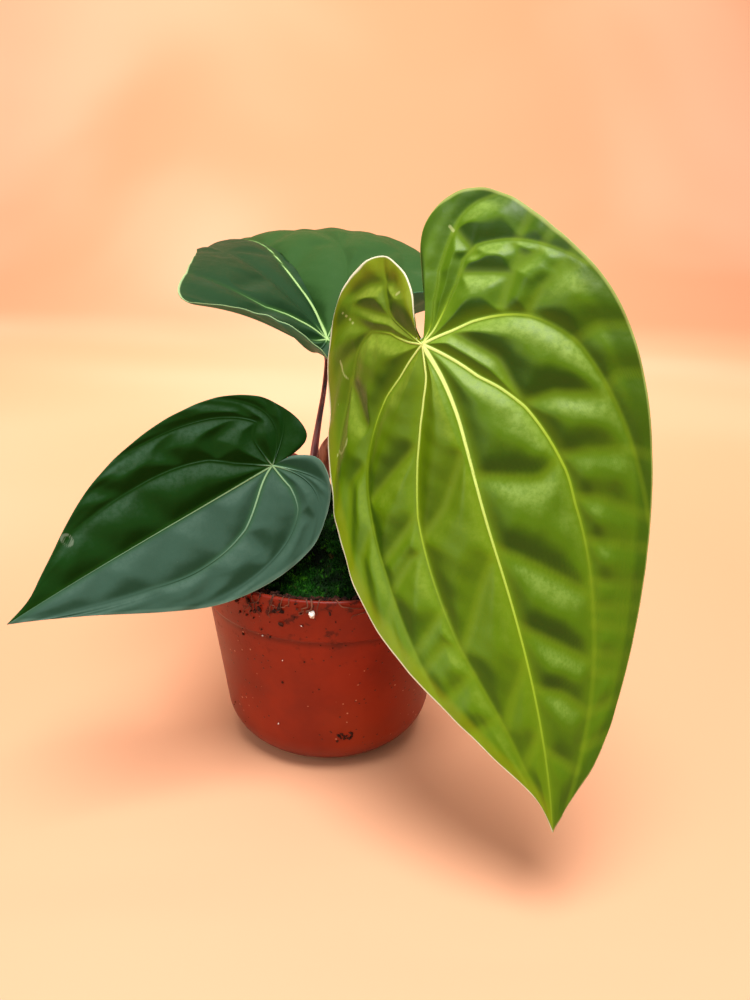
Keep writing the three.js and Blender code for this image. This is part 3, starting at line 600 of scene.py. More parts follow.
def moss_point(share, angle):
    """The mound: share 1 at its ragged edge, 0 at the collar's foot, and below 0 up the collar."""
    ground = np.clip(share, 0, 1)
    climb = np.clip(-share, 0, 1)
    radius = COLLAR + (moss_edge(angle) - COLLAR) * ground - 3.4 * climb**1.5
    collar_top = STEM_TOP - 5 + 2.5 * np.cos(angle - 2.7) + 1.5 * np.sin(5 * angle)
    x = STEM_X * (1 - ground) + radius * np.cos(angle)
    y = STEM_Y * (1 - ground) + radius * np.sin(angle)
    rise = MOSS_BROW + (MOSS_TOP - MOSS_BROW) * (1 - ground) ** 1.3
    base = np.maximum(rise + 1.3 * lumps(x, y), 0.8)
    tufts = 0.9 * lumps(x * 2.3, y * 2.3, 4) + 0.5 * lumps(y * 4.1, x * 4.1, 9)
    height = MOSS_LOW + base * np.clip((1 - ground) / 0.03, 0, 1) + tufts * (ground < 0.97)
    height = height + (collar_top - MOSS_LOW - MOSS_TOP) * climb
    return np.stack([x, y, height], -1)


def moss_finish(name, dark, light, tip):
    """Damp green shoots: black-green in the depths, with yellower and browner patches."""
    finish = Finish(name)
    patch = finish.noise(70, detail=4, rough=0.6)
    colour = finish.shade(patch, 0.38, 0.64, dark, light)
    fresh = finish.step(finish.noise(260, detail=2), 0.55, 0.7)
    colour = finish.mix(fresh * 0.7, colour, tip)
    dead = finish.step(finish.noise(120, detail=3, twist=0.6), 0.62, 0.7)
    colour = finish.mix(dead * 0.6, colour, linear(78, 58, 24))
    grain = finish.noise(1200, detail=3)
    return finish.surface(colour, 0.75, finish.bump(grain, 0.7, 0.0008), specular_ior_level=0.1)


mound_share = np.concatenate([[1.0], np.linspace(0.97, 0, 52), np.linspace(-0.1, -1, 14)])[:, None]
mound_angle = angles(200)
mound = moss_point(*np.broadcast_arrays(mound_share, mound_angle))
hole_heights = np.stack([mound[-1, :, 2] - 1.2, np.full(200, MOSS_LOW)])
hole = polar(MOSS_HOLE, mound_angle, hole_heights) + [STEM_X, STEM_Y, 0]
cushion_green = moss_finish("moss", linear(3, 12, 1), linear(14, 52, 4), linear(40, 96, 12))
moss = new_piece("moss_cushion", *closed_rings(np.concatenate([mound, hole])), cushion_green)
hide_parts("moss")


def spindles(feet, tips, widths):
    """Closed three-sided slivers: pointed at foot and tip and widest a third of the way up."""
    axis = tips - feet
    side = unit(np.cross(axis, [0.21, 0.37, 0.9]))
    other = np.cross(unit(axis), side)
    middle = feet + axis * 0.35
    waist = [middle + widths[:, None] * (math.cos(t) * side + math.sin(t) * other) for t in angles(3)]
    points = np.stack([feet, *waist, tips], 1)
    pattern = np.array([[0, 2, 1], [0, 3, 2], [0, 1, 3], [4, 1, 2], [4, 2, 3], [4, 3, 1]])
    faces = pattern[None] + 5 * np.arange(len(feet))[:, None, None]
    return points.reshape(-1, 3), faces.reshape(-1, 3)


shoot_rng = np.random.default_rng(31)
on_ground = shoot_rng.random(SHOOTS) < 0.8
shoot_share = np.where(on_ground, np.sqrt(shoot_rng.random(SHOOTS)), -shoot_rng.random(SHOOTS))
shoot_share = np.minimum(shoot_share, 0.985)
shoot_angle = shoot_rng.uniform(0, 2 * np.pi, SHOOTS)
shoot_foot = moss_point(shoot_share, shoot_angle)
along_share = moss_point(shoot_share + 0.004, shoot_angle) - shoot_foot
along_angle = moss_point(shoot_share, shoot_angle + 0.004) - shoot_foot
outward = np.cross(along_share, along_angle)
outward *= np.sign(outward[:, 2:] + 1e-9)
outward /= np.linalg.norm(outward, axis=1)[:, None] + 1e-9
outward = np.where(shoot_share[:, None] < 0, polar(1.0, shoot_angle, 0.0), outward)
lean = unit(outward + shoot_rng.normal(0, 0.42, (SHOOTS, 3)) + [0, 0, 0.25])
shoot_tip = shoot_foot + lean * shoot_rng.uniform(1.2, 3.0, SHOOTS)[:, None]
shoot_slivers = spindles(shoot_foot - outward * 0.4, shoot_tip, shoot_rng.uniform(0.16, 0.34, SHOOTS))
shoot_green = moss_finish("moss_tips", linear(5, 24, 2), linear(24, 80, 8), linear(78, 144, 26))
shoots = new_piece("moss_shoots", *shoot_slivers, shoot_green, smooth=False)


# Stem: a short green-brown trunk, ringed by the scars of fallen leaves, standing in the soil
# and held by the moss; only its top shows above the moss.
SCAR_STEP = 8.0


def stem_profile():
    """A cylinder that swells above each leaf scar and rounds off at its top."""
    height = np.linspace(STEM_FOOT + 0.5, STEM_TOP - 1.5, 90)
    phase = ((height - STEM_FOOT) / SCAR_STEP) % 1
    swell = 0.65 * np.sin(np.pi * phase) - 0.35 * np.exp(-((phase - 0.05) / 0.05) ** 2)
    body = np.stack([STEM_RADIUS - 0.75 + swell, height], -1)
    crown = [[STEM_RADIUS - 1.4, STEM_TOP - 0.7], [STEM_RADIUS - 2.6, STEM_TOP], [0, STEM_TOP]]
    return np.concatenate([[[0, STEM_FOOT]], body, crown])


def stem_finish():
    """Corky brown with green patches."""
    finish = Finish("stem")
    tone = finish.noise(90, detail=5)
    colour = finish.shade(tone, 0.35, 0.65, linear(44, 34, 18), linear(96, 84, 46))
    green = finish.step(finish.noise(50, detail=3), 0.45, 0.6)
    colour = finish.mix(green * 0.7, colour, linear(40, 62, 20))
    return finish.surface(colour, 0.7, finish.bump(finish.noise(700, detail=4), 0.6, 0.0008))


stem_points, stem_faces = turned(stem_profile(), 64)
stem = new_piece("stem", stem_points + [STEM_X, STEM_Y, 0], stem_faces, stem_finish())
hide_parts("stem")


# Petioles: three smooth, springy leaf stalks, maroon with a painted highlight down one side, that clasp
# the stem top and end in a swollen joint just under their blades.
BLADE = 0.8
RIB = 1.5
JOINT_GAP = 0.35
STALK_ROWS = 90
STALK_SIDES = 20
PETIOLES = {
    "front": {
        "junction": [32, -57.9, 193.7], "face": [-0.56, -0.81, 0.19],
        "path": [
            [-3.2, -0.8, STEM_TOP + GAP], [-3.2, -1.6, 134], [0.5, -4.5, 145],
            [12, -12, 161], [27, -25, 179], [37, -41, 189],
        ],
    },
    "left": {
        "junction": [-23.8, -32.8, 139.9], "face": [0.25, -0.95, 0.17],
        "path": [[-10.8, -0.6, STEM_TOP + GAP], [-12, -2.4, 131], [-17.5, -9, 137.5], [-24.5, -20.5, 140.5]],
    },
    "back": {
        "junction": [-2.7, 33.4, 181.4], "face": [0.02, -0.65, 0.76],
        "path": [
            [-7.6, 6.2, STEM_TOP + GAP], [-7.8, 7.8, 133], [-6, 15, 146],
            [-3.8, 25, 158.5], [-2.6, 38, 171],
        ],
    },
}


def petiole_radius(share):
    """Thick at the clasping foot, slender above, swollen at the joint."""
    return 1.05 + 1.6 * np.exp(-share * 4.5) + 0.7 * np.exp(-(((share - 0.93) / 0.05) ** 2))


def petiole_path(plan, count):
    """A curve through the stalk's points that meets the blade's underside squarely."""
    face = unit(plan["face"])
    end = np.array(plan["junction"]) - face * (BLADE + RIB + JOINT_GAP)
    return curve_through([*plan["path"], end - 4 * face, end], count)


def petiole_finish():
    """Dark maroon with a painted highlight stripe down one side and fine lengthwise streaks."""
    finish = Finish("petiole")
    tone = finish.noise(60, finish.stretched(3, 3, 0.5))
    colour = finish.shade(tone, 0.35, 0.65, linear(66, 14, 12), linear(122, 40, 34))
    # Painted highlight: a pale stripe down one side of each stalk, where light catches it.
    painted_highlight = finish.step(finish.stored("painted_highlight"), 0.55, 0.95)
    colour = finish.mix(painted_highlight * 0.6, colour, linear(172, 92, 80))
    joint = finish.step(finish.stored("along"), 0.86, 0.97)
    colour = finish.mix(joint * 0.7, colour, linear(150, 96, 50))
    normal = finish.bump(tone, 0.15, 0.0004)
    return finish.surface(colour, 0.38, normal, coat_weight=0.15, coat_roughness=0.3)


petiole_material = petiole_finish()
for side_name, plan in PETIOLES.items():
    along = np.linspace(0, 1, STALK_ROWS)
    stalk = tube(petiole_path(plan, STALK_ROWS), petiole_radius(along), STALK_SIDES)
    # How near each point is to the side that carries the painted highlight.
    around = np.cos(angles(STALK_SIDES) - 0.9)
    stored = {
        "painted_highlight": np.concatenate([np.tile(around, STALK_ROWS), [0, 0]]),
        "along": np.concatenate([np.repeat(along, STALK_SIDES), [0, 1]]),
    }
    petiole = new_piece(f"leaf_stalk_{side_name}", *stalk, petiole_material, attributes=stored)
    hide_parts(f"petiole_{side_name}")


# Bract: a thin, reddish-brown papery scale that stood round the young leaf and still
# stands half round the foot of the front stalk.
BRACT_ROWS = 40


def bract_point(share, turn, out, path):
    """Round the stalk at a share of the scale's height; it narrows and opens away towards its tip."""
    along = 0.012 + 0.26 * share
    angle = -1.5 + turn * (1.9 * (1 - share**1.6) + 0.12)
    ripple = 0.25 * np.sin(9 * turn + 5 * share) * share
    radius = petiole_radius(along) + GAP + 0.25 + 1.1 * share + out + ripple
    places = np.arange(len(path)) / (len(path) - 1)
    centre = np.stack([np.interp(along, places, path[:, k]) for k in range(3)], -1)
    return centre + polar(radius, angle, 0.0)


def bract_finish():
    """Dry red-brown paper with long fibres."""
    finish = Finish("bract")
    fibre = finish.noise(130, finish.stretched(3, 3, 0.4), detail=5)
    colour = finish.shade(fibre, 0.35, 0.65, linear(104, 40, 26), linear(184, 112, 84))
    return finish.surface(colour, 0.6, finish.bump(fibre, 0.5, 0.0006))


bract_share = np.linspace(0, 1, BRACT_ROWS)[:, None]
bract_turn = np.linspace(-1, 1, BRACT_ROWS)[None, :]
front_path = petiole_path(PETIOLES["front"], 400)
bract_inner = bract_point(bract_share, bract_turn, 0.1, front_path)
bract_outer = bract_point(bract_share, bract_turn, 0.5, front_path)
bract_rings = np.concatenate([bract_outer, bract_inner[:, ::-1]], 1)
bract_round = 2 * BRACT_ROWS
bract_faces = grid_faces(BRACT_ROWS, bract_round).tolist()
for start in (0, (BRACT_ROWS - 1) * bract_round):
    for k in range(BRACT_ROWS - 1):
        strip = [start + k, start + bract_round - 1 - k, start + bract_round - 2 - k, start + k + 1]
        bract_faces.append(strip if start == 0 else strip[::-1])
bract = new_piece("papery_scale", bract_rings.reshape(-1, 3), bract_faces, bract_finish())
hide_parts("bract")


# Leaf blades: leathery, velvety blades with pale veins. The tissue between the veins swells up into
# cushions and the veins stand out underneath. Each blade is one shell, thinnest at its margin, drawn
# flat as a fan of 13 rays a half and then bent; VEINS are the rays that carry the main side veins.
RIB_HALF_WIDTH = 1.6
CUSHION_REACH = 8.0
VEIN_ROUNDING = 0.8
CROSS_ROUNDING = 1.9
CROSS_LIFT = 0.5
RIDGE = 0.28
FAR = 1e9
VEINS = (1, 4, 6, 8)
BOW = np.array([
    [0, 0], [0.6, -0.27], [0.67, -0.45], [0.66, -0.7], [0.6, -0.9], [0.28, -1.28], [0.05, -1.22],
    [0.01, -0.88], [0.16, -0.6], [0.15, -0.17], [0.32, -0.16], [0.39, -0.37], [0, 0],
])


def spline(points, along):
    """Smooth curve through points at whole numbers of along; its slope is half the neighbours' step."""
    points = np.asarray(points, float)
    last = len(points) - 1
    first = np.clip(along.astype(int), 0, last - 1)
    t = (along - first)[..., None]
    before, start = points[np.maximum(first - 1, 0)], points[first]
    end, after = points[first + 1], points[np.minimum(first + 2, last)]
    leave, arrive = (end - before) / 2, (after - start) / 2
    cubic = 2 * start - 2 * end + leave + arrive
    square = 3 * end - 3 * start - 2 * leave - arrive
    return cubic * t**3 + square * t**2 + leave * t + start


def fan(outline, along, share):
    """Flat point at a share of the bowed ray from the junction (0, 0) to the outline point at along."""
    end = spline(outline, along)
    size = np.linalg.norm(end, axis=-1, keepdims=True)
    share = share[..., None]
    return end * share + spline(BOW, along) * size * share * (1 - share)


def cubic(points, t):
    """Place and direction at t, from 0 to 1, on the cubic curve of four control points."""
    a, b, c, d = np.asarray(points, float)
    place = (1 - t) ** 3 * a + 3 * t * (1 - t) ** 2 * b + 3 * t * t * (1 - t) * c + t**3 * d
    return place, unit((1 - t) ** 2 * (b - a) + 2 * t * (1 - t) * (c - b) + t * t * (d - c))


def place_on_blade(leaf, half, flat, lift):
    """Puts flat points, across and along the midrib, onto the bent blade and lifts them off it.

    The midrib is a cubic curve; each half rises from it at its slope and bends back by its curl.
    Behind the junction the lobes rise further by their slope and bend by the leaf's lobe curl."""
    t = np.linspace(0, 1, 2001)
    curve, _ = cubic(leaf["midrib"], t[:, None])
    arc = np.concatenate([[0], np.cumsum(np.linalg.norm(np.diff(curve, axis=0), axis=1))])
    length = arc[-1]
    x, y = flat[..., 0], flat[..., 1]
    share = np.clip(y / length, 0, 1)
    origin, tangent = cubic(leaf["midrib"], np.interp(share * length, arc, t)[..., None])
    ends = unit(np.asarray(leaf["face"], float))
    face = ends[0] * (1 - share[..., None]) + ends[1] * share[..., None]
    face = unit(face - tangent * (face * tangent).sum(-1, keepdims=True))
    origin = origin + tangent * np.maximum(0, y - length)[..., None]
    bend = leaf["lobe_curl"] or 1e-9
    turn = (bend * np.minimum(y, 0))[..., None]
    origin = origin + tangent * np.sin(turn) / bend - face * (1 - np.cos(turn)) / bend
    cosine, sine = np.cos(turn), np.sin(turn)
    tangent, face = tangent * cosine - face * sine, face * cosine + tangent * sine
    across = np.cross(tangent, face) * half["side"]
    near, far = half["slope"]
    rise = near * (1 - share) + far * share + half["lobe_slope"] * np.maximum(0, -y / length)
    curl = half["curl"] or 1e-7
    lean = rise - curl * x
    out = (np.sin(rise) - np.sin(lean)) / curl - lift * np.sin(lean)
    up = (np.cos(lean) - np.cos(rise)) / curl + lift * np.cos(lean)
    return origin + across * out[..., None] + face * up[..., None]


def vein_course(half, stop):
    """A main vein's (share, along) pairs; one with no list of its own follows its ray."""
    return half["veins"].get(stop, [(0, stop), (1, stop)])


def vein_drift(half, along, share):
    """Moves the fan's rays sideways so that each main vein follows its own course; the rays between
    two veins are moved in proportion."""
    stops = [0, *VEINS, 12]
    none = np.zeros_like(share)
    drift = [none, *(np.interp(share, *zip(*vein_course(half, stop))) - stop for stop in VEINS), none]
    low = np.clip(np.searchsorted(stops, along, side="right") - 1, 0, len(stops) - 2)
    stops = np.array(stops, float)
    part = (along - stops[low]) / (stops[low + 1] - stops[low])
    drift = np.stack(drift)
    row, column = np.indices(along.shape)
    return along + drift[low, row, column] * (1 - part) + drift[low + 1, row, column] * part


def nearest(points, chain):
    """Distance from flat points to a chain of flat points, and how far along the chain it lies."""
    best = np.full(points.shape[:-1], FAR)
    where = np.zeros_like(best)
    for k in range(len(chain) - 1):
        span = chain[k + 1] - chain[k]
        part = np.clip(((points - chain[k]) @ span) / max(span @ span, 1e-9), 0, 1)
        gap = np.linalg.norm(points - chain[k] - part[..., None] * span, axis=-1)
        where = np.where(gap < best, (k + part) / (len(chain) - 1), where)
        best = np.minimum(best, gap)
    return best, where


def gap_to(points, chains):
    """Distance from flat points to the nearest of several chains."""
    gaps = [nearest(points, np.asarray(chain, float))[0] for chain in chains]
    return np.minimum.reduce([np.full(points.shape[:-1], FAR), *gaps])


def chain_on_fan(half, course):
    """A vein drawn as (along, share) pairs on the fan: straight from each pair's flat point to the next."""
    corners = fan(half["outline"], *np.asarray(course, float).T)
    even = np.linspace(0, len(course) - 1, 6 * len(course))
    return np.stack([np.interp(even, np.arange(len(course)), corners[:, k]) for k in (0, 1)], -1)


def half_sheet(leaf, half):
    """The flat grid of one half with the numbers its surface and colour need at every point."""
    stops = [0, *VEINS, 12]
    columns = []
    for low, high, count in zip(stops[:-1], stops[1:], leaf["columns"]):
        even = np.arange(count) / count
        columns.append(low + (high - low) * (0.65 * even + 0.175 * (1 - np.cos(np.pi * even))))
    along = np.concatenate([*columns, [12.0]])[:, None]
    share = (np.arange(1, leaf["rows"] + 1) / leaf["rows"])[None, :] ** 1.1
    along, share = np.broadcast_arrays(along, share)
    drawn = vein_drift(half, along, share)
    flat = fan(half["outline"], drawn, share)
    main = np.full(share.shape, FAR)
    reach = np.zeros_like(main)
    width = np.ones_like(main)
    for stop, (vein_width, vein_reach) in half["lines"].items():
        steps = np.linspace(0.001, 1, 90)
        if stop == 0:
            chain = spline(leaf["midrib_line"], steps * (len(leaf["midrib_line"]) - 1)) * [-half["side"], 1]
            part = chain[:, 1] / chain[-1, 1]
        else:
            chain = fan(half["outline"], np.interp(steps, *zip(*vein_course(half, stop))), steps)
            part = steps
        gap, where = nearest(flat, chain)
        where = np.interp(where, np.linspace(0, 1, 90), part)
        closer = gap < main
        main = np.where(closer, gap, main)
        reach = np.where(closer, where / vein_reach, reach)
        taper = 0.35 + 0.65 * np.exp(-where * 4) if stop == 0 else 1 - 0.5 * where
        width = np.where(closer, vein_width * taper, width)
    return {
        "flat": flat, "along": drawn, "share": share, "main": main, "reach": reach, "width": width,
        "cross": gap_to(flat, [chain_on_fan(half, course) for course in half["cross"]]),
        "marks": gap_to(flat, half.get("marks", [])),
        "margin": (1 - share) * np.linalg.norm(spline(half["outline"], drawn), axis=-1),
    }


def rounded(distance, radius):
    """A distance whose sharp crease at 0 is rounded off."""
    return np.hypot(distance, radius) - radius


def smoothed(values, times):
    """A grid of values, each averaged with its neighbours a few times over."""
    for _ in range(times):
        for axis in (0, 1):
            edge = [(1, 1) if k == axis else (0, 0) for k in (0, 1)]
            padded = np.pad(values, edge, mode="edge")
            before, after = (padded[:-2], padded[2:]) if axis == 0 else (padded[:, :-2], padded[:, 2:])
            values = (before + 2 * values + after) / 4
    return values


def skyward(points):
    """How much a grid of points faces up: the vertical part of its unit normal."""
    return unit(np.cross(np.gradient(points, axis=0), np.gradient(points, axis=1)))[..., 2]


def blade(leaf):
    """The closed blade: an upper and a lower sheet over both halves, joined by a strip at the margin."""
    uppers, lowers, kept = [], [], []
    for number, half in enumerate(leaf["halves"]):
        sheet = half_sheet(leaf, half)
        cross_gap = rounded(sheet["cross"], CROSS_ROUNDING) + CROSS_LIFT
        any_vein = np.minimum(rounded(sheet["main"], VEIN_ROUNDING), cross_gap)
        swell = 1 - np.exp(-2 * (any_vein / CUSHION_REACH) ** 1.3)
        cushion = smoothed(leaf["cushion"] * swell * (1 - 0.6 * sheet["share"] ** 6), 1)
        x, y = sheet["flat"][..., 0], sheet["flat"][..., 1]
        cushion = cushion + leaf["cushion"] * 0.1 * lumps(x * 0.9 + 40 * number, y * 0.9) * swell
        wave = leaf["wave"] * np.sin(sheet["along"] * 9.2 + number) * np.sin(sheet["along"] * 3.1 + 1)
        cushion = cushion + wave * sheet["share"] ** 10
        ridge = RIDGE * np.clip(1 - sheet["main"] / (sheet["width"] * 1.3), 0, 1) * (1 - sheet["share"])
        thick = BLADE * (0.6 + 0.4 * np.clip(sheet["margin"] / 3, 0, 1))
        rib = RIB * np.clip(1 - sheet["main"] / RIB_HALF_WIDTH, 0, 1) * (1 - sheet["share"]) ** 0.7
        upper = place_on_blade(leaf, half, sheet["flat"], cushion + ridge)
        lower = place_on_blade(leaf, half, sheet["flat"], cushion - thick - rib)
        sheet["half"] = np.full(x.shape, float(number))
        plain = place_on_blade(leaf, half, sheet["flat"], np.zeros_like(cushion))
        # How far the cushions tip up or down; the finish paints highlight and shade from this.
        sheet["sky"] = smoothed(skyward(upper) - skyward(plain), 2) * half["side"]
        rows = slice(None) if number == 0 else slice(-2, 0, -1)
        uppers.append(upper[rows])
        lowers.append(lower[rows])
        kept.append({key: value[rows] for key, value in sheet.items()})
    upper, lower = np.concatenate(uppers), np.concatenate(lowers)
    rays, rows = upper.shape[:2]
    sheet_size = rays * rows
    first = leaf["halves"][0]
    centre = place_on_blade(leaf, first, np.zeros((2, 2)), np.array([0.2, -BLADE - RIB]))
    points = np.concatenate([centre, upper.reshape(-1, 3), lower.reshape(-1, 3)])
    ray = np.arange(rays)
    after = (ray + 1) % rays
    fan_top = np.stack([0 * ray, 2 + after * rows, 2 + ray * rows], -1)
    fan_low = np.stack([0 * ray + 1, 2 + sheet_size + ray * rows, 2 + sheet_size + after * rows], -1)
    here, there = 2 + ray[:, None] * rows, 2 + after[:, None] * rows
    row = np.arange(rows - 1)[None, :]
    quads = np.stack([here + row, there + row, there + row + 1, here + row + 1], -1).reshape(-1, 4)
    edge = np.stack([here[:, 0], there[:, 0]], -1) + rows - 1
    strip = np.stack([edge[:, 0], edge[:, 1], edge[:, 1] + sheet_size, edge[:, 0] + sheet_size], -1)
    faces = [*fan_top.tolist(), *fan_low.tolist(), *quads.tolist()]
    faces += [*(quads[:, ::-1] + sheet_size).tolist(), *strip.tolist()]
    stored = {}
    for key in ("main", "reach", "width", "cross", "marks", "margin", "half", "sky", "along"):
        values = np.concatenate([part[key] for part in kept]).reshape(-1)
        centre_value = {"width": 1.0, "margin": 60.0, "marks": 50.0, "cross": 20.0}.get(key, 0.0)
        stored[key] = np.concatenate([[centre_value] * 2, values, values])
    stored["upper"] = np.concatenate([[1, 0], np.ones(sheet_size), np.zeros(sheet_size)])
    return points, faces, stored


def leaf_finish(name, look):
    """Each half has its own greens, and light is painted in: the sides of the cushions that tip up carry a
    painted pale sheen and those that tip down painted dark shade. The margin is a band of its own tone,
    in places a painted glow of light shining through, with a thin light rim. Pale veins fade out towards
    the margin, and scars and the underside have their own colours."""
    finish = Finish(name)
    half, upper, sky = finish.stored("half"), finish.stored("upper"), finish.stored("sky")
    main, width, reach = finish.stored("main"), finish.stored("width"), finish.stored("reach")
    cross, margin = finish.stored("cross"), finish.stored("margin")
    clouds = finish.noise(32, detail=5, rough=0.6)
    fine = finish.noise(420, detail=4, rough=0.7)
    pair = {key: finish.mix(half, *look[key]) for key in ("painted_shade", "base", "painted_sheen", "band", "rim")}
    # Painted light: where the cushions tip up the colour turns to a pale painted sheen, where they tip down
    # to painted shade.
    uneven = sky + (clouds - 0.5) * look["clouds"] + (fine - 0.5) * look["clouds"] * 0.5
    low, middle, high = look["sky"]
    colour = finish.shade(uneven, low, middle, pair["painted_shade"], pair["base"])
    painted_sheen = finish.step(uneven, middle, high) * finish.step(fine, 0.32, 0.62, 0.55, 1.0)
    colour = finish.mix(painted_sheen * look["painted_sheen_strength"], colour, pair["painted_sheen"])
    # The margin band is a tone of its own and, on some halves, a painted glow of light shining through.
    band = finish.step(margin + clouds * 6, look["band_width"] * 0.4 + 3, look["band_width"] + 3, 1, 0)
    colour = finish.mix(band * look["band_strength"], colour, pair["band"])
    glow = finish.step(main, 0.3, look["glow_width"], 1, 0) * finish.step(reach, 0.1, 1.5, 1, 0)
    colour = finish.mix(glow * look["glow_strength"], colour, look["glow"])
    if "thread" in look:
        thread = finish.step(cross, 0.4, 3.0, 1, 0) * look["thread_strength"]
        crease = finish.step(main, 0.1, 1.4, 1, 0) * look["thread_strength"]
        colour = finish.mix(thread + crease, colour, look["thread"])
    line = finish.step(main / width, 0.5, 1.15, 1, 0) * finish.step(reach, 0.35, 1.0, 1, 0)
    vein = finish.shade(reach, 0.0, 0.6, look["vein_near"], look["vein_far"])
    colour = finish.mix(line, colour, vein)
    along = finish.stored("along")
    wide = finish.step(along, 5.0, 7.2, look["rim_width"], look["rim_wide"])
    rim_width = wide * finish.step(along, 9.0, 9.7, 1.0, 0.3)
    rim = finish.step(margin / rim_width, 0.3, 1.0, 1, 0) * look["rim_strength"]
    colour = finish.mix(rim, colour, pair["rim"])
    if "scar" in look:
        scar = finish.step(finish.stored("marks"), 0.3, 0.8, look["scar_strength"], 0)
        colour = finish.mix(scar, colour, look["scar"])
    colour = finish.mix(upper, finish.mix(line, look["below"], look["vein_near"]), colour)
    rough = finish.step(fine, 0.3, 0.7, look["rough"] - 0.06, look["rough"] + 0.06) + line * 0.08
    puckers = finish.noise(150) * 0.5 + finish.cells(240, "SMOOTH_F1") * 0.35 + fine * 0.15
    normal = finish.bump(puckers, look["pucker"], 0.0012)
    return finish.surface(colour, rough, normal, specular_ior_level=look["shine"])
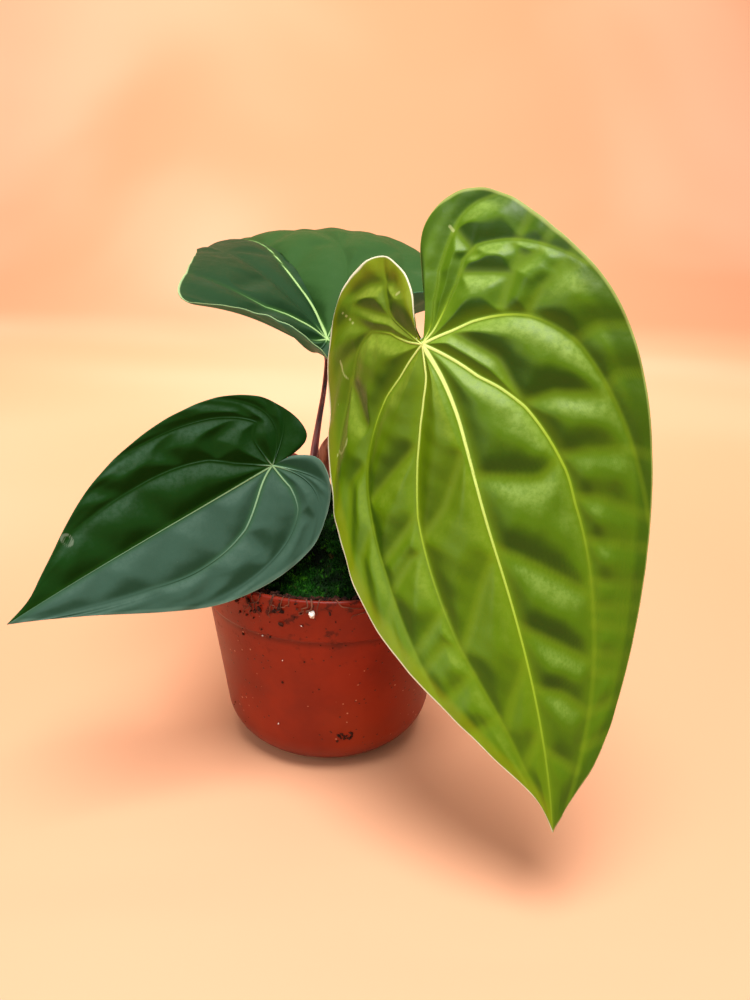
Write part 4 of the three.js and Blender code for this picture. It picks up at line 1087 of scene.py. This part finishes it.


# Front leaf: the youngest and widest, still yellow-green and glossy. It hangs open to the front,
# its tip level with the pot's wall, and its left margin is painted olive: light shining through it.
FRONT_LEAF = {
    "midrib": [[32, -57.9, 193.7], [50.2, -86.9, 145.4], [74.4, -105.6, 93.7], [77.8, -125.8, 37]],
    "face": [[-0.56, -0.81, 0.19], [-0.02, -0.92, 0.39]],
    "midrib_line": [
        [0, 0], [2.6, 14], [3.2, 28], [2.2, 42], [1, 56], [0.2, 70], [0, 90], [0, 130], [0, 177.5],
    ],
    "cushion": 3.3, "lobe_curl": 0.003, "wave": 0.2,
    "rows": 124, "columns": [26, 50, 40, 32, 44],
    "halves": [
        {
            "side": 1, "slope": [-0.27, 0.07], "curl": 0.0027, "lobe_slope": -0.2,
            "outline": [
                [0, 177.5], [5, 165.5], [19.5, 147], [41.5, 115], [57, 82], [65, 41.5], [65, 6],
                [53, -26.5], [37.5, -40.5], [21.5, -44.5], [4, -39], [-4.5, -21], [2.2, -2.2],
            ],
            "veins": {
                1: [
                    (0, 0.45), (0.07, 0.45), (0.12, 0.62), (0.18, 0.73), (0.27, 0.83), (0.41, 0.93),
                    (0.7, 0.87), (0.85, 0.72), (1, 0.7),
                ],
                4: [
                    (0, 2.95), (0.13, 2.95), (0.23, 3.25), (0.32, 3.3), (0.49, 3.35), (0.57, 3.25),
                    (0.75, 2.8), (1, 2.6),
                ],
                6: [(0, 5), (0.06, 5.13), (0.19, 6.02), (0.35, 6.23), (0.48, 5.87), (0.57, 5.43), (1, 5.2)],
                8: [(0, 7.5), (0.1, 7.9), (0.5, 9.4), (0.7, 9.8), (1, 9.9)],
            },
            "cross": [
                [(0, 0.44), (0.35, 0.53), (0.87, 0.71)], [(0, 0.66), (0.42, 0.77), (0.67, 0.84)],
                [(0, 0.24), (0.5, 0.36), (0.9, 0.46)], [(0, 0.8), (0.7, 0.92)],
                [(0.85, 0.24), (1.87, 0.35), (2.93, 0.56)], [(0.92, 0.4), (1.2, 0.45), (2.72, 0.7)],
                [(1, 0.5), (1.3, 0.53), (2.65, 0.76)], [(0.9, 0.62), (1.37, 0.69), (2.73, 0.92)],
                [(0.87, 0.7), (1.23, 0.72), (2.6, 0.93)], [(0.85, 0.75), (2.6, 1)],
                [(0.75, 0.83), (2.1, 0.98)], [(5.4, 0.6), (3.87, 0.42)],
                [(3.35, 0.5), (4.2, 0.72), (4.4, 1)], [(3.05, 0.66), (3.7, 0.84), (3.8, 1)],
                [(2.75, 0.8), (3.1, 0.9), (3.2, 1)], [(6.05, 0.3), (7, 0.6), (7.2, 1)],
                [(5.9, 0.52), (6.2, 0.75), (6.3, 1)], [(10.18, 0.7), (9.07, 0.75), (8.22, 0.72)],
                [(8.6, 0.3), (7.6, 0.62)],
            ],
            "lines": {0: (1.0, 1.15), 1: (0.5, 0.75), 4: (0.45, 0.5), 6: (0.4, 0.3), 8: (0.3, 0.12)},
            "marks": [
                [[35.8, -34.4], [33.2, -29.7], [31.4, -26.1]], [[45.9, -17.8], [46.4, -12.9], [44.1, -8.3]],
                [[59, 18.2], [56.5, 20.2], [54.2, 20.4], [50.3, 18.6], [48.9, 16.4]],
                [[54.9, -1.8], [54.4, -1.4]], [[60.8, 20], [60.2, 19.6]], [[0.7, -21.2], [2.5, -21.4]],
            ],
        },
        {
            "side": -1, "slope": [-0.18, -0.02], "curl": 0, "lobe_slope": -0.2,
            "outline": [
                [0, 177.5], [6, 168.5], [20.5, 149.5], [39.5, 112.5], [56, 74], [65.5, 39.5], [66, 10],
                [56, -19.5], [42.5, -42.5], [27.5, -49], [13.5, -40.5], [7.2, -20], [4, -2.4],
            ],
            "veins": {
                1: [
                    (0, 1.15), (0.15, 1.12), (0.21, 1.33), (0.29, 1.5), (0.4, 1.38), (0.45, 1.33),
                    (0.5, 1.17), (0.69, 1.02), (1, 0.93),
                ],
                4: [(0, 3.95), (0.1, 3.95), (0.19, 4.12), (0.45, 4.3), (0.66, 4.33), (0.8, 4.05), (1, 3.7)],
                6: [
                    (0, 4.7), (0.06, 4.8), (0.12, 5.25), (0.24, 6.15), (0.35, 6.82), (0.43, 7.2),
                    (0.55, 7.2), (0.63, 7), (1, 6.2),
                ],
                8: [(0, 5.6), (0.06, 5.8), (0.18, 8), (0.4, 8.8), (0.71, 8.53), (0.89, 8.03), (1, 7.9)],
            },
            "cross": [
                [(0.1, 0.29), (0.52, 0.35), (0.8, 0.4), (1.4, 0.42)],
                [(0, 0.43), (0.35, 0.5), (0.68, 0.59), (1, 0.66)], [(0, 0.59), (0.37, 0.66), (0.87, 0.76)],
                [(0.05, 0.72), (0.45, 0.77), (0.92, 0.85)], [(0, 0.84), (0.9, 0.94)],
                [(1.42, 0.28), (2.05, 0.33), (2.82, 0.46), (3.95, 0.75)],
                [(1.45, 0.42), (2.62, 0.59), (3.85, 0.87), (4.28, 1)],
                [(1.27, 0.5), (2.23, 0.62), (3.68, 0.97)], [(1.2, 0.58), (3.55, 1)],
                [(1.05, 0.64), (3.27, 1)], [(1, 0.68), (3.1, 1)], [(1, 0.71), (2.92, 1)],
                [(1, 0.76), (2.73, 1)], [(1, 0.79), (2.58, 1)], [(0.94, 0.85), (2.4, 1)],
                [(1, 0.91), (2.08, 1)], [(4.33, 0.45), (5.12, 0.63), (5.8, 0.78), (6.4, 1)],
                [(4.32, 0.65), (5.03, 0.84), (5.55, 1)], [(4.1, 0.76), (4.58, 0.87), (5.03, 1)],
                [(6.63, 0.69), (7.35, 1)], [(6.33, 0.76), (6.98, 1)], [(5.85, 0.77), (6.6, 1)],
                [(6.68, 0.37), (5.45, 0.52), (6.18, 0.65)], [(4.47, 0.36), (5.65, 0.55), (6.33, 0.76)],
                [(3.65, 0.11), (2.58, 0.23), (1.42, 0.28)], [(7.1, 0.5), (8.4, 0.6)],
            ],
            "lines": {0: (1.0, 1.15), 1: (0.6, 0.72), 4: (0.55, 0.6), 6: (0.4, 0.22), 8: (0.3, 0.1)},
            "marks": [[[22.8, -37.3], [23.5, -35.1]]],
        },
    ],
}
*front_shell, front_stored = blade(FRONT_LEAF)
front_look = {
    "painted_shade": [linear(50, 84, 0), linear(42, 74, 0)], "base": [linear(86, 118, 1), linear(78, 112, 1)],
    "painted_sheen": [linear(132, 156, 46), linear(134, 162, 66)], "sky": (-0.26, 0.02, 0.34), "clouds": 0.12,
    "painted_sheen_strength": 0.9, "band": [linear(124, 136, 4), linear(46, 76, 0)], "band_width": 13,
    "band_strength": 0.6, "thread": linear(124, 150, 24), "thread_strength": 0.22,
    "glow": linear(116, 150, 4), "glow_width": 5.5, "glow_strength": 0.4,
    "vein_near": linear(222, 242, 140), "vein_far": linear(160, 192, 48),
    "rim": [linear(244, 242, 214), linear(150, 164, 84)], "rim_width": 1.1, "rim_wide": 3.0,
    "rim_strength": 0.9,
    "scar": linear(200, 208, 140), "scar_strength": 0.45, "below": linear(110, 132, 44), "rough": 0.4,
    "pucker": 0.25, "shine": 0.2,
}
front_green = leaf_finish("leaf_young", front_look)
front_leaf = new_piece("front_blade", *front_shell, front_green, attributes=front_stored)
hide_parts("leaf_front")


# Left leaf: small and dark, reaching out to the left. Its two halves are one dark green painted apart:
# the upper half darker, as in shade, and the lower half, turned to the light, blue-grey with a painted
# sheen; a thin pale line follows its midrib.
LEFT_LEAF = {
    "midrib": [[-23.8, -32.8, 139.9], [-56.2, -44.4, 122.6], [-86, -54.6, 107.5], [-117.2, -75.8, 91.7]],
    "face": [[0.25, -0.95, 0.17], [0.4, -0.83, 0.4]],
    "midrib_line": [[0, 0], [0, 40], [0, 80], [0, 115.5]],
    "cushion": 1.9, "lobe_curl": 0, "wave": 0.15,
    "rows": 96, "columns": [16, 50, 34, 24, 26],
    "halves": [
        {
            "side": 1, "slope": [0.29, 0.29], "curl": 0, "lobe_slope": 0.09,
            "outline": [
                [0, 115.5], [3.5, 105], [13, 91], [27, 70], [35, 50], [39, 27], [37, 7],
                [30, -7], [21, -14], [12, -18], [4, -18], [0.5, -12], [0, -4],
            ],
            "veins": {
                1: [(0, 0.8), (0.16, 1.02), (0.29, 1.5), (0.61, 1.52), (0.8, 1.88), (1, 2.3)],
                4: [(0, 3), (0.2, 3.9), (0.42, 4.88), (0.67, 4.5), (0.87, 3.95), (1, 3.9)],
            },
            "cross": [
                [(0, 0.4), (0.8, 0.52), (1.5, 0.6)], [(0, 0.6), (1, 0.75), (1.8, 0.85)],
                [(0.05, 0.8), (1, 0.93)], [(1.5, 0.4), (3, 0.66), (4.1, 0.78)],
                [(1.5, 0.25), (3, 0.4), (4.7, 0.55)], [(1.6, 0.66), (3, 0.95)],
                [(4.8, 0.45), (5.6, 0.75), (5.7, 1)], [(6, 0.5), (7, 0.8), (7.3, 1)],
            ],
            "lines": {0: (0.45, 1.3), 1: (0.3, 0.08), 4: (0.3, 0.08), 6: (0.2, 0.08), 8: (0.2, 0.08)},
            "marks": [
                [[16.1 + 2.3 * math.cos(a / 3), 81.8 + 1.7 * math.sin(a / 3)] for a in range(20)],
                [[12.5, 72.6], [12.8, 72.9]],
            ],
        },
        {
            "side": -1, "slope": [0.24, 0.24], "curl": 0, "lobe_slope": 0.09,
            "outline": [
                [0, 115.5], [5, 106], [14, 90], [28, 66], [37, 46], [40, 24], [37, 4],
                [29, -8], [21, -15], [13, -18], [6, -17], [1, -10], [0, -4],
            ],
            "veins": {
                1: [
                    (0, 0.5), (0.12, 0.87), (0.3, 1.43), (0.42, 1.47), (0.57, 1.4), (0.68, 1.02),
                    (0.85, 0.87), (1, 0.9),
                ],
                4: [(0, 4), (0.18, 4.38), (0.37, 4.42), (0.54, 4.22), (0.71, 3.97), (1, 3.6)],
            },
            "cross": [
                [(0.15, 0.44), (0.4, 0.51), (0.87, 0.65), (2.6, 0.92)],
                [(1.72, 0.33), (3.25, 0.55), (4.15, 0.76)], [(1.45, 0.5), (2.6, 0.7), (3.4, 0.95)],
                [(0, 0.25), (0.8, 0.35), (1.45, 0.45)], [(0, 0.65), (0.9, 0.85)],
                [(4.4, 0.4), (5.4, 0.66), (5.6, 1)], [(6, 0.5), (7, 0.75), (7.4, 1)],
            ],
            "lines": {0: (0.45, 1.3), 1: (0.4, 0.6), 4: (0.36, 0.5), 6: (0.3, 0.2), 8: (0.3, 0.35)},
            "marks": [[[14.4, 51.7], [14.7, 52.0]]],
        },
    ],
}
*left_shell, left_stored = blade(LEFT_LEAF)
# Painted light: the lower half's paler blue-grey greens are its sheen, the upper half's darker greens its
# shade.
left_look = {
    "painted_shade": [linear(8, 48, 3), linear(35, 63, 45)], "base": [linear(22, 67, 21), linear(55, 84, 69)],
    "painted_sheen": [linear(66, 100, 78), linear(80, 107, 92)], "sky": (-0.2, 0.0, 0.26), "clouds": 0.14,
    "painted_sheen_strength": 0.75, "band": [linear(24, 64, 26), linear(96, 124, 106)], "band_width": 4,
    "band_strength": 0.35, "glow": linear(40, 96, 20), "glow_width": 2.5, "glow_strength": 0.25,
    "vein_near": linear(146, 184, 136), "vein_far": linear(108, 142, 118),
    "rim": [linear(44, 86, 46), linear(140, 164, 144)], "rim_width": 0.7, "rim_wide": 0.9,
    "rim_strength": 0.5,
    "scar": linear(170, 190, 170), "scar_strength": 0.3, "below": linear(66, 94, 62), "rough": 0.5,
    "pucker": 0.2, "shine": 0.05,
}
left_green = leaf_finish("leaf_dark", left_look)
left_leaf = new_piece("left_blade", *left_shell, left_green, attributes=left_stored)
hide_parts("leaf_left")


# Back leaf: large, arching away over the back of the pot, between the other two in age and
# colour. From the front it is seen nearly edge on, so only its near half shows.
BACK_LEAF = {
    "midrib": [[-2.7, 33.4, 181.4], [-17.8, 79.3, 221.2], [-47.9, 139.5, 236], [-84.2, 188.4, 203.3]],
    "face": [[0.02, -0.65, 0.76], [-0.28, 0.2, 0.94]],
    "midrib_line": [[0, 0], [1.8, 20], [5.6, 40], [5.8, 60], [3, 90], [0, 130], [0, 184.5]],
    "cushion": 2.0, "lobe_curl": -0.0172, "wave": 0.25,
    "rows": 100, "columns": [18, 60, 44, 34, 34],
    "halves": [
        {
            "side": 1, "slope": [0.49, -0.15], "curl": 0.0103, "lobe_slope": 2.8,
            "outline": [
                [0, 184.5], [5, 172.5], [20.5, 153], [42, 118.5], [58, 79.5], [64.5, 42.5], [68.5, 8.5],
                [56, -23.5], [41, -43], [25.5, -49], [10, -41], [3, -21.5], [0, -4],
            ],
            "veins": {},
            "cross": [
                [(0, 0.3), (0.63, 0.42), (1, 0.43)], [(0, 0.5), (1, 0.66)], [(0, 0.68), (1, 0.82)],
                [(1, 0.25), (2.5, 0.45), (4, 0.75)], [(1, 0.4), (2.5, 0.66), (3.6, 1)],
                [(1, 0.55), (2.9, 1)], [(4, 0.35), (5, 0.5), (6, 0.6)], [(4, 0.6), (5.5, 1)],
                [(6, 0.4), (7, 0.7), (7.2, 1)],
            ],
            "lines": {0: (1.5, 1.1), 1: (0.4, 0.06), 4: (0.4, 0.06), 6: (0.4, 0.06), 8: (0.4, 0.06)},
        },
        {
            "side": -1, "slope": [0.83, -0.2], "curl": 0.0081, "lobe_slope": 0.95,
            "outline": [
                [0, 184.5], [7.5, 170.5], [20, 144], [35, 106], [46.5, 72], [60.5, 37.5], [72, 5],
                [55.5, -20.5], [40, -43], [24, -47], [10, -41], [3, -21.5], [0, -4],
            ],
            "veins": {
                4: [(0, 2.9), (0.07, 3), (0.17, 3.6), (0.33, 4.12), (0.47, 4.45), (1, 5)],
                6: [(0, 5), (0.2, 5.6), (1, 6)],
            },
            "cross": [
                [(0.58, 0.69), (1.78, 0.51)], [(0, 0.35), (1, 0.5), (2, 0.62), (3, 0.9)],
                [(1, 0.25), (2.6, 0.38), (4.2, 0.6)], [(0, 0.55), (1, 0.7), (2.2, 1)],
                [(4.3, 0.4), (5.5, 0.7), (5.8, 1)], [(6, 0.4), (7, 0.7), (7.4, 1)],
            ],
            "lines": {0: (1.5, 1.1), 1: (0.4, 0.06), 4: (0.7, 0.75), 6: (0.5, 0.2), 8: (0.4, 0.06)},
        },
    ],
}
*back_shell, back_stored = blade(BACK_LEAF)
back_look = {
    "painted_shade": [linear(34, 62, 24), linear(24, 50, 24)], "base": [linear(50, 83, 38), linear(35, 64, 36)],
    "painted_sheen": [linear(84, 113, 75), linear(74, 99, 79)], "sky": (-0.25, 0.0, 0.28), "clouds": 0.3,
    "painted_sheen_strength": 0.6, "band": [linear(54, 86, 42), linear(46, 76, 38)], "band_width": 5,
    "band_strength": 0.3, "glow": linear(64, 116, 32), "glow_width": 3, "glow_strength": 0.3,
    "vein_near": linear(184, 214, 140), "vein_far": linear(132, 172, 104),
    "rim": [linear(76, 110, 66), linear(186, 212, 150)], "rim_width": 0.9, "rim_wide": 1.1,
    "rim_strength": 0.8, "below": linear(74, 124, 96), "rough": 0.55,
    "pucker": 0.25, "shine": 0.04,
}
back_green = leaf_finish("leaf_mid", back_look)
back_leaf = new_piece("back_blade", *back_shell, back_green, attributes=back_stored)
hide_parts("leaf_back")


# Floor: one seamless sheet of pale peach paper that runs back under the plant and sweeps up
# behind it, so that there is no edge between floor and wall.
PAPER_WIDTH = 7000.0
PAPER_NEAR = -2200.0
PAPER_BEND = 1600.0
PAPER_RADIUS = 1100.0
PAPER_HEIGHT = 3400.0


def paper_sheet():
    """Flat from the near end to the bend, a quarter circle, then straight up."""
    angle = np.linspace(0, math.pi / 2, 25)
    bend = np.stack([PAPER_BEND + PAPER_RADIUS * np.sin(angle), PAPER_RADIUS * (1 - np.cos(angle))], -1)
    profile = np.concatenate([[[PAPER_NEAR, 0]], bend, [[PAPER_BEND + PAPER_RADIUS, PAPER_HEIGHT]]])
    x, y = np.meshgrid([-0.5 * PAPER_WIDTH, 0.5 * PAPER_WIDTH], profile[:, 0])
    z = np.repeat(profile[:, 1:], 2, 1)
    return np.stack([x, y, z], -1).reshape(-1, 3), grid_faces(len(profile), 2, around=False)


def paper_finish():
    """Peach paper with broad, faint changes of tone."""
    finish = Finish("peach_paper")
    tone = finish.noise(0.9, detail=2, rough=0.4, twist=0.5)
    colour = finish.shade(tone, 0.35, 0.68, linear(236, 168, 126), linear(246, 190, 152))
    normal = finish.bump(finish.noise(300), 0.05, 0.0004)
    return finish.surface(colour, 0.85, normal, specular_ior_level=0.2)


paper = new_object("paper_floor", *paper_sheet(), paper_finish())


# Light: a large soft panel above the plant, a broad one at the front left, one that lights the
# upright paper, and a pale, even surrounding that opens up the shadows. The rows are each panel's
# place and the point it faces, in metres, its width and its power.
LIGHTS = {
    "overhead": [(0.05, -0.35, 1.35), (0.0, -0.05, 0.1), 0.8, 22],
    "front_left": [(-1.4, -1.0, 0.9), (0.0, 0.0, 0.12), 1.2, 8],
    "backdrop": [(0.0, 0.7, 1.7), (0.0, 2.6, 0.7), 1.8, 50],
}
for light_name, (spot, aim, size, power) in LIGHTS.items():
    light_data = bpy.data.lights.new(light_name, "AREA")
    light_data.shape = "DISK"
    light_data.size = size
    light_data.energy = power
    back = unit(np.subtract(spot, aim))
    right = unit(np.cross([0.0, 1.0, 0.001], back))
    stand(bpy.data.objects.new(light_name, light_data), right, np.cross(back, right), back, spot)
world = bpy.data.worlds.new("surrounding")
world.use_nodes = True
background = world.node_tree.nodes["Background"].inputs
background["Color"].default_value = linear(246, 242, 240)
background["Strength"].default_value = 0.42
bpy.context.scene.world = world
bpy.context.scene.view_settings.view_transform = "Standard"
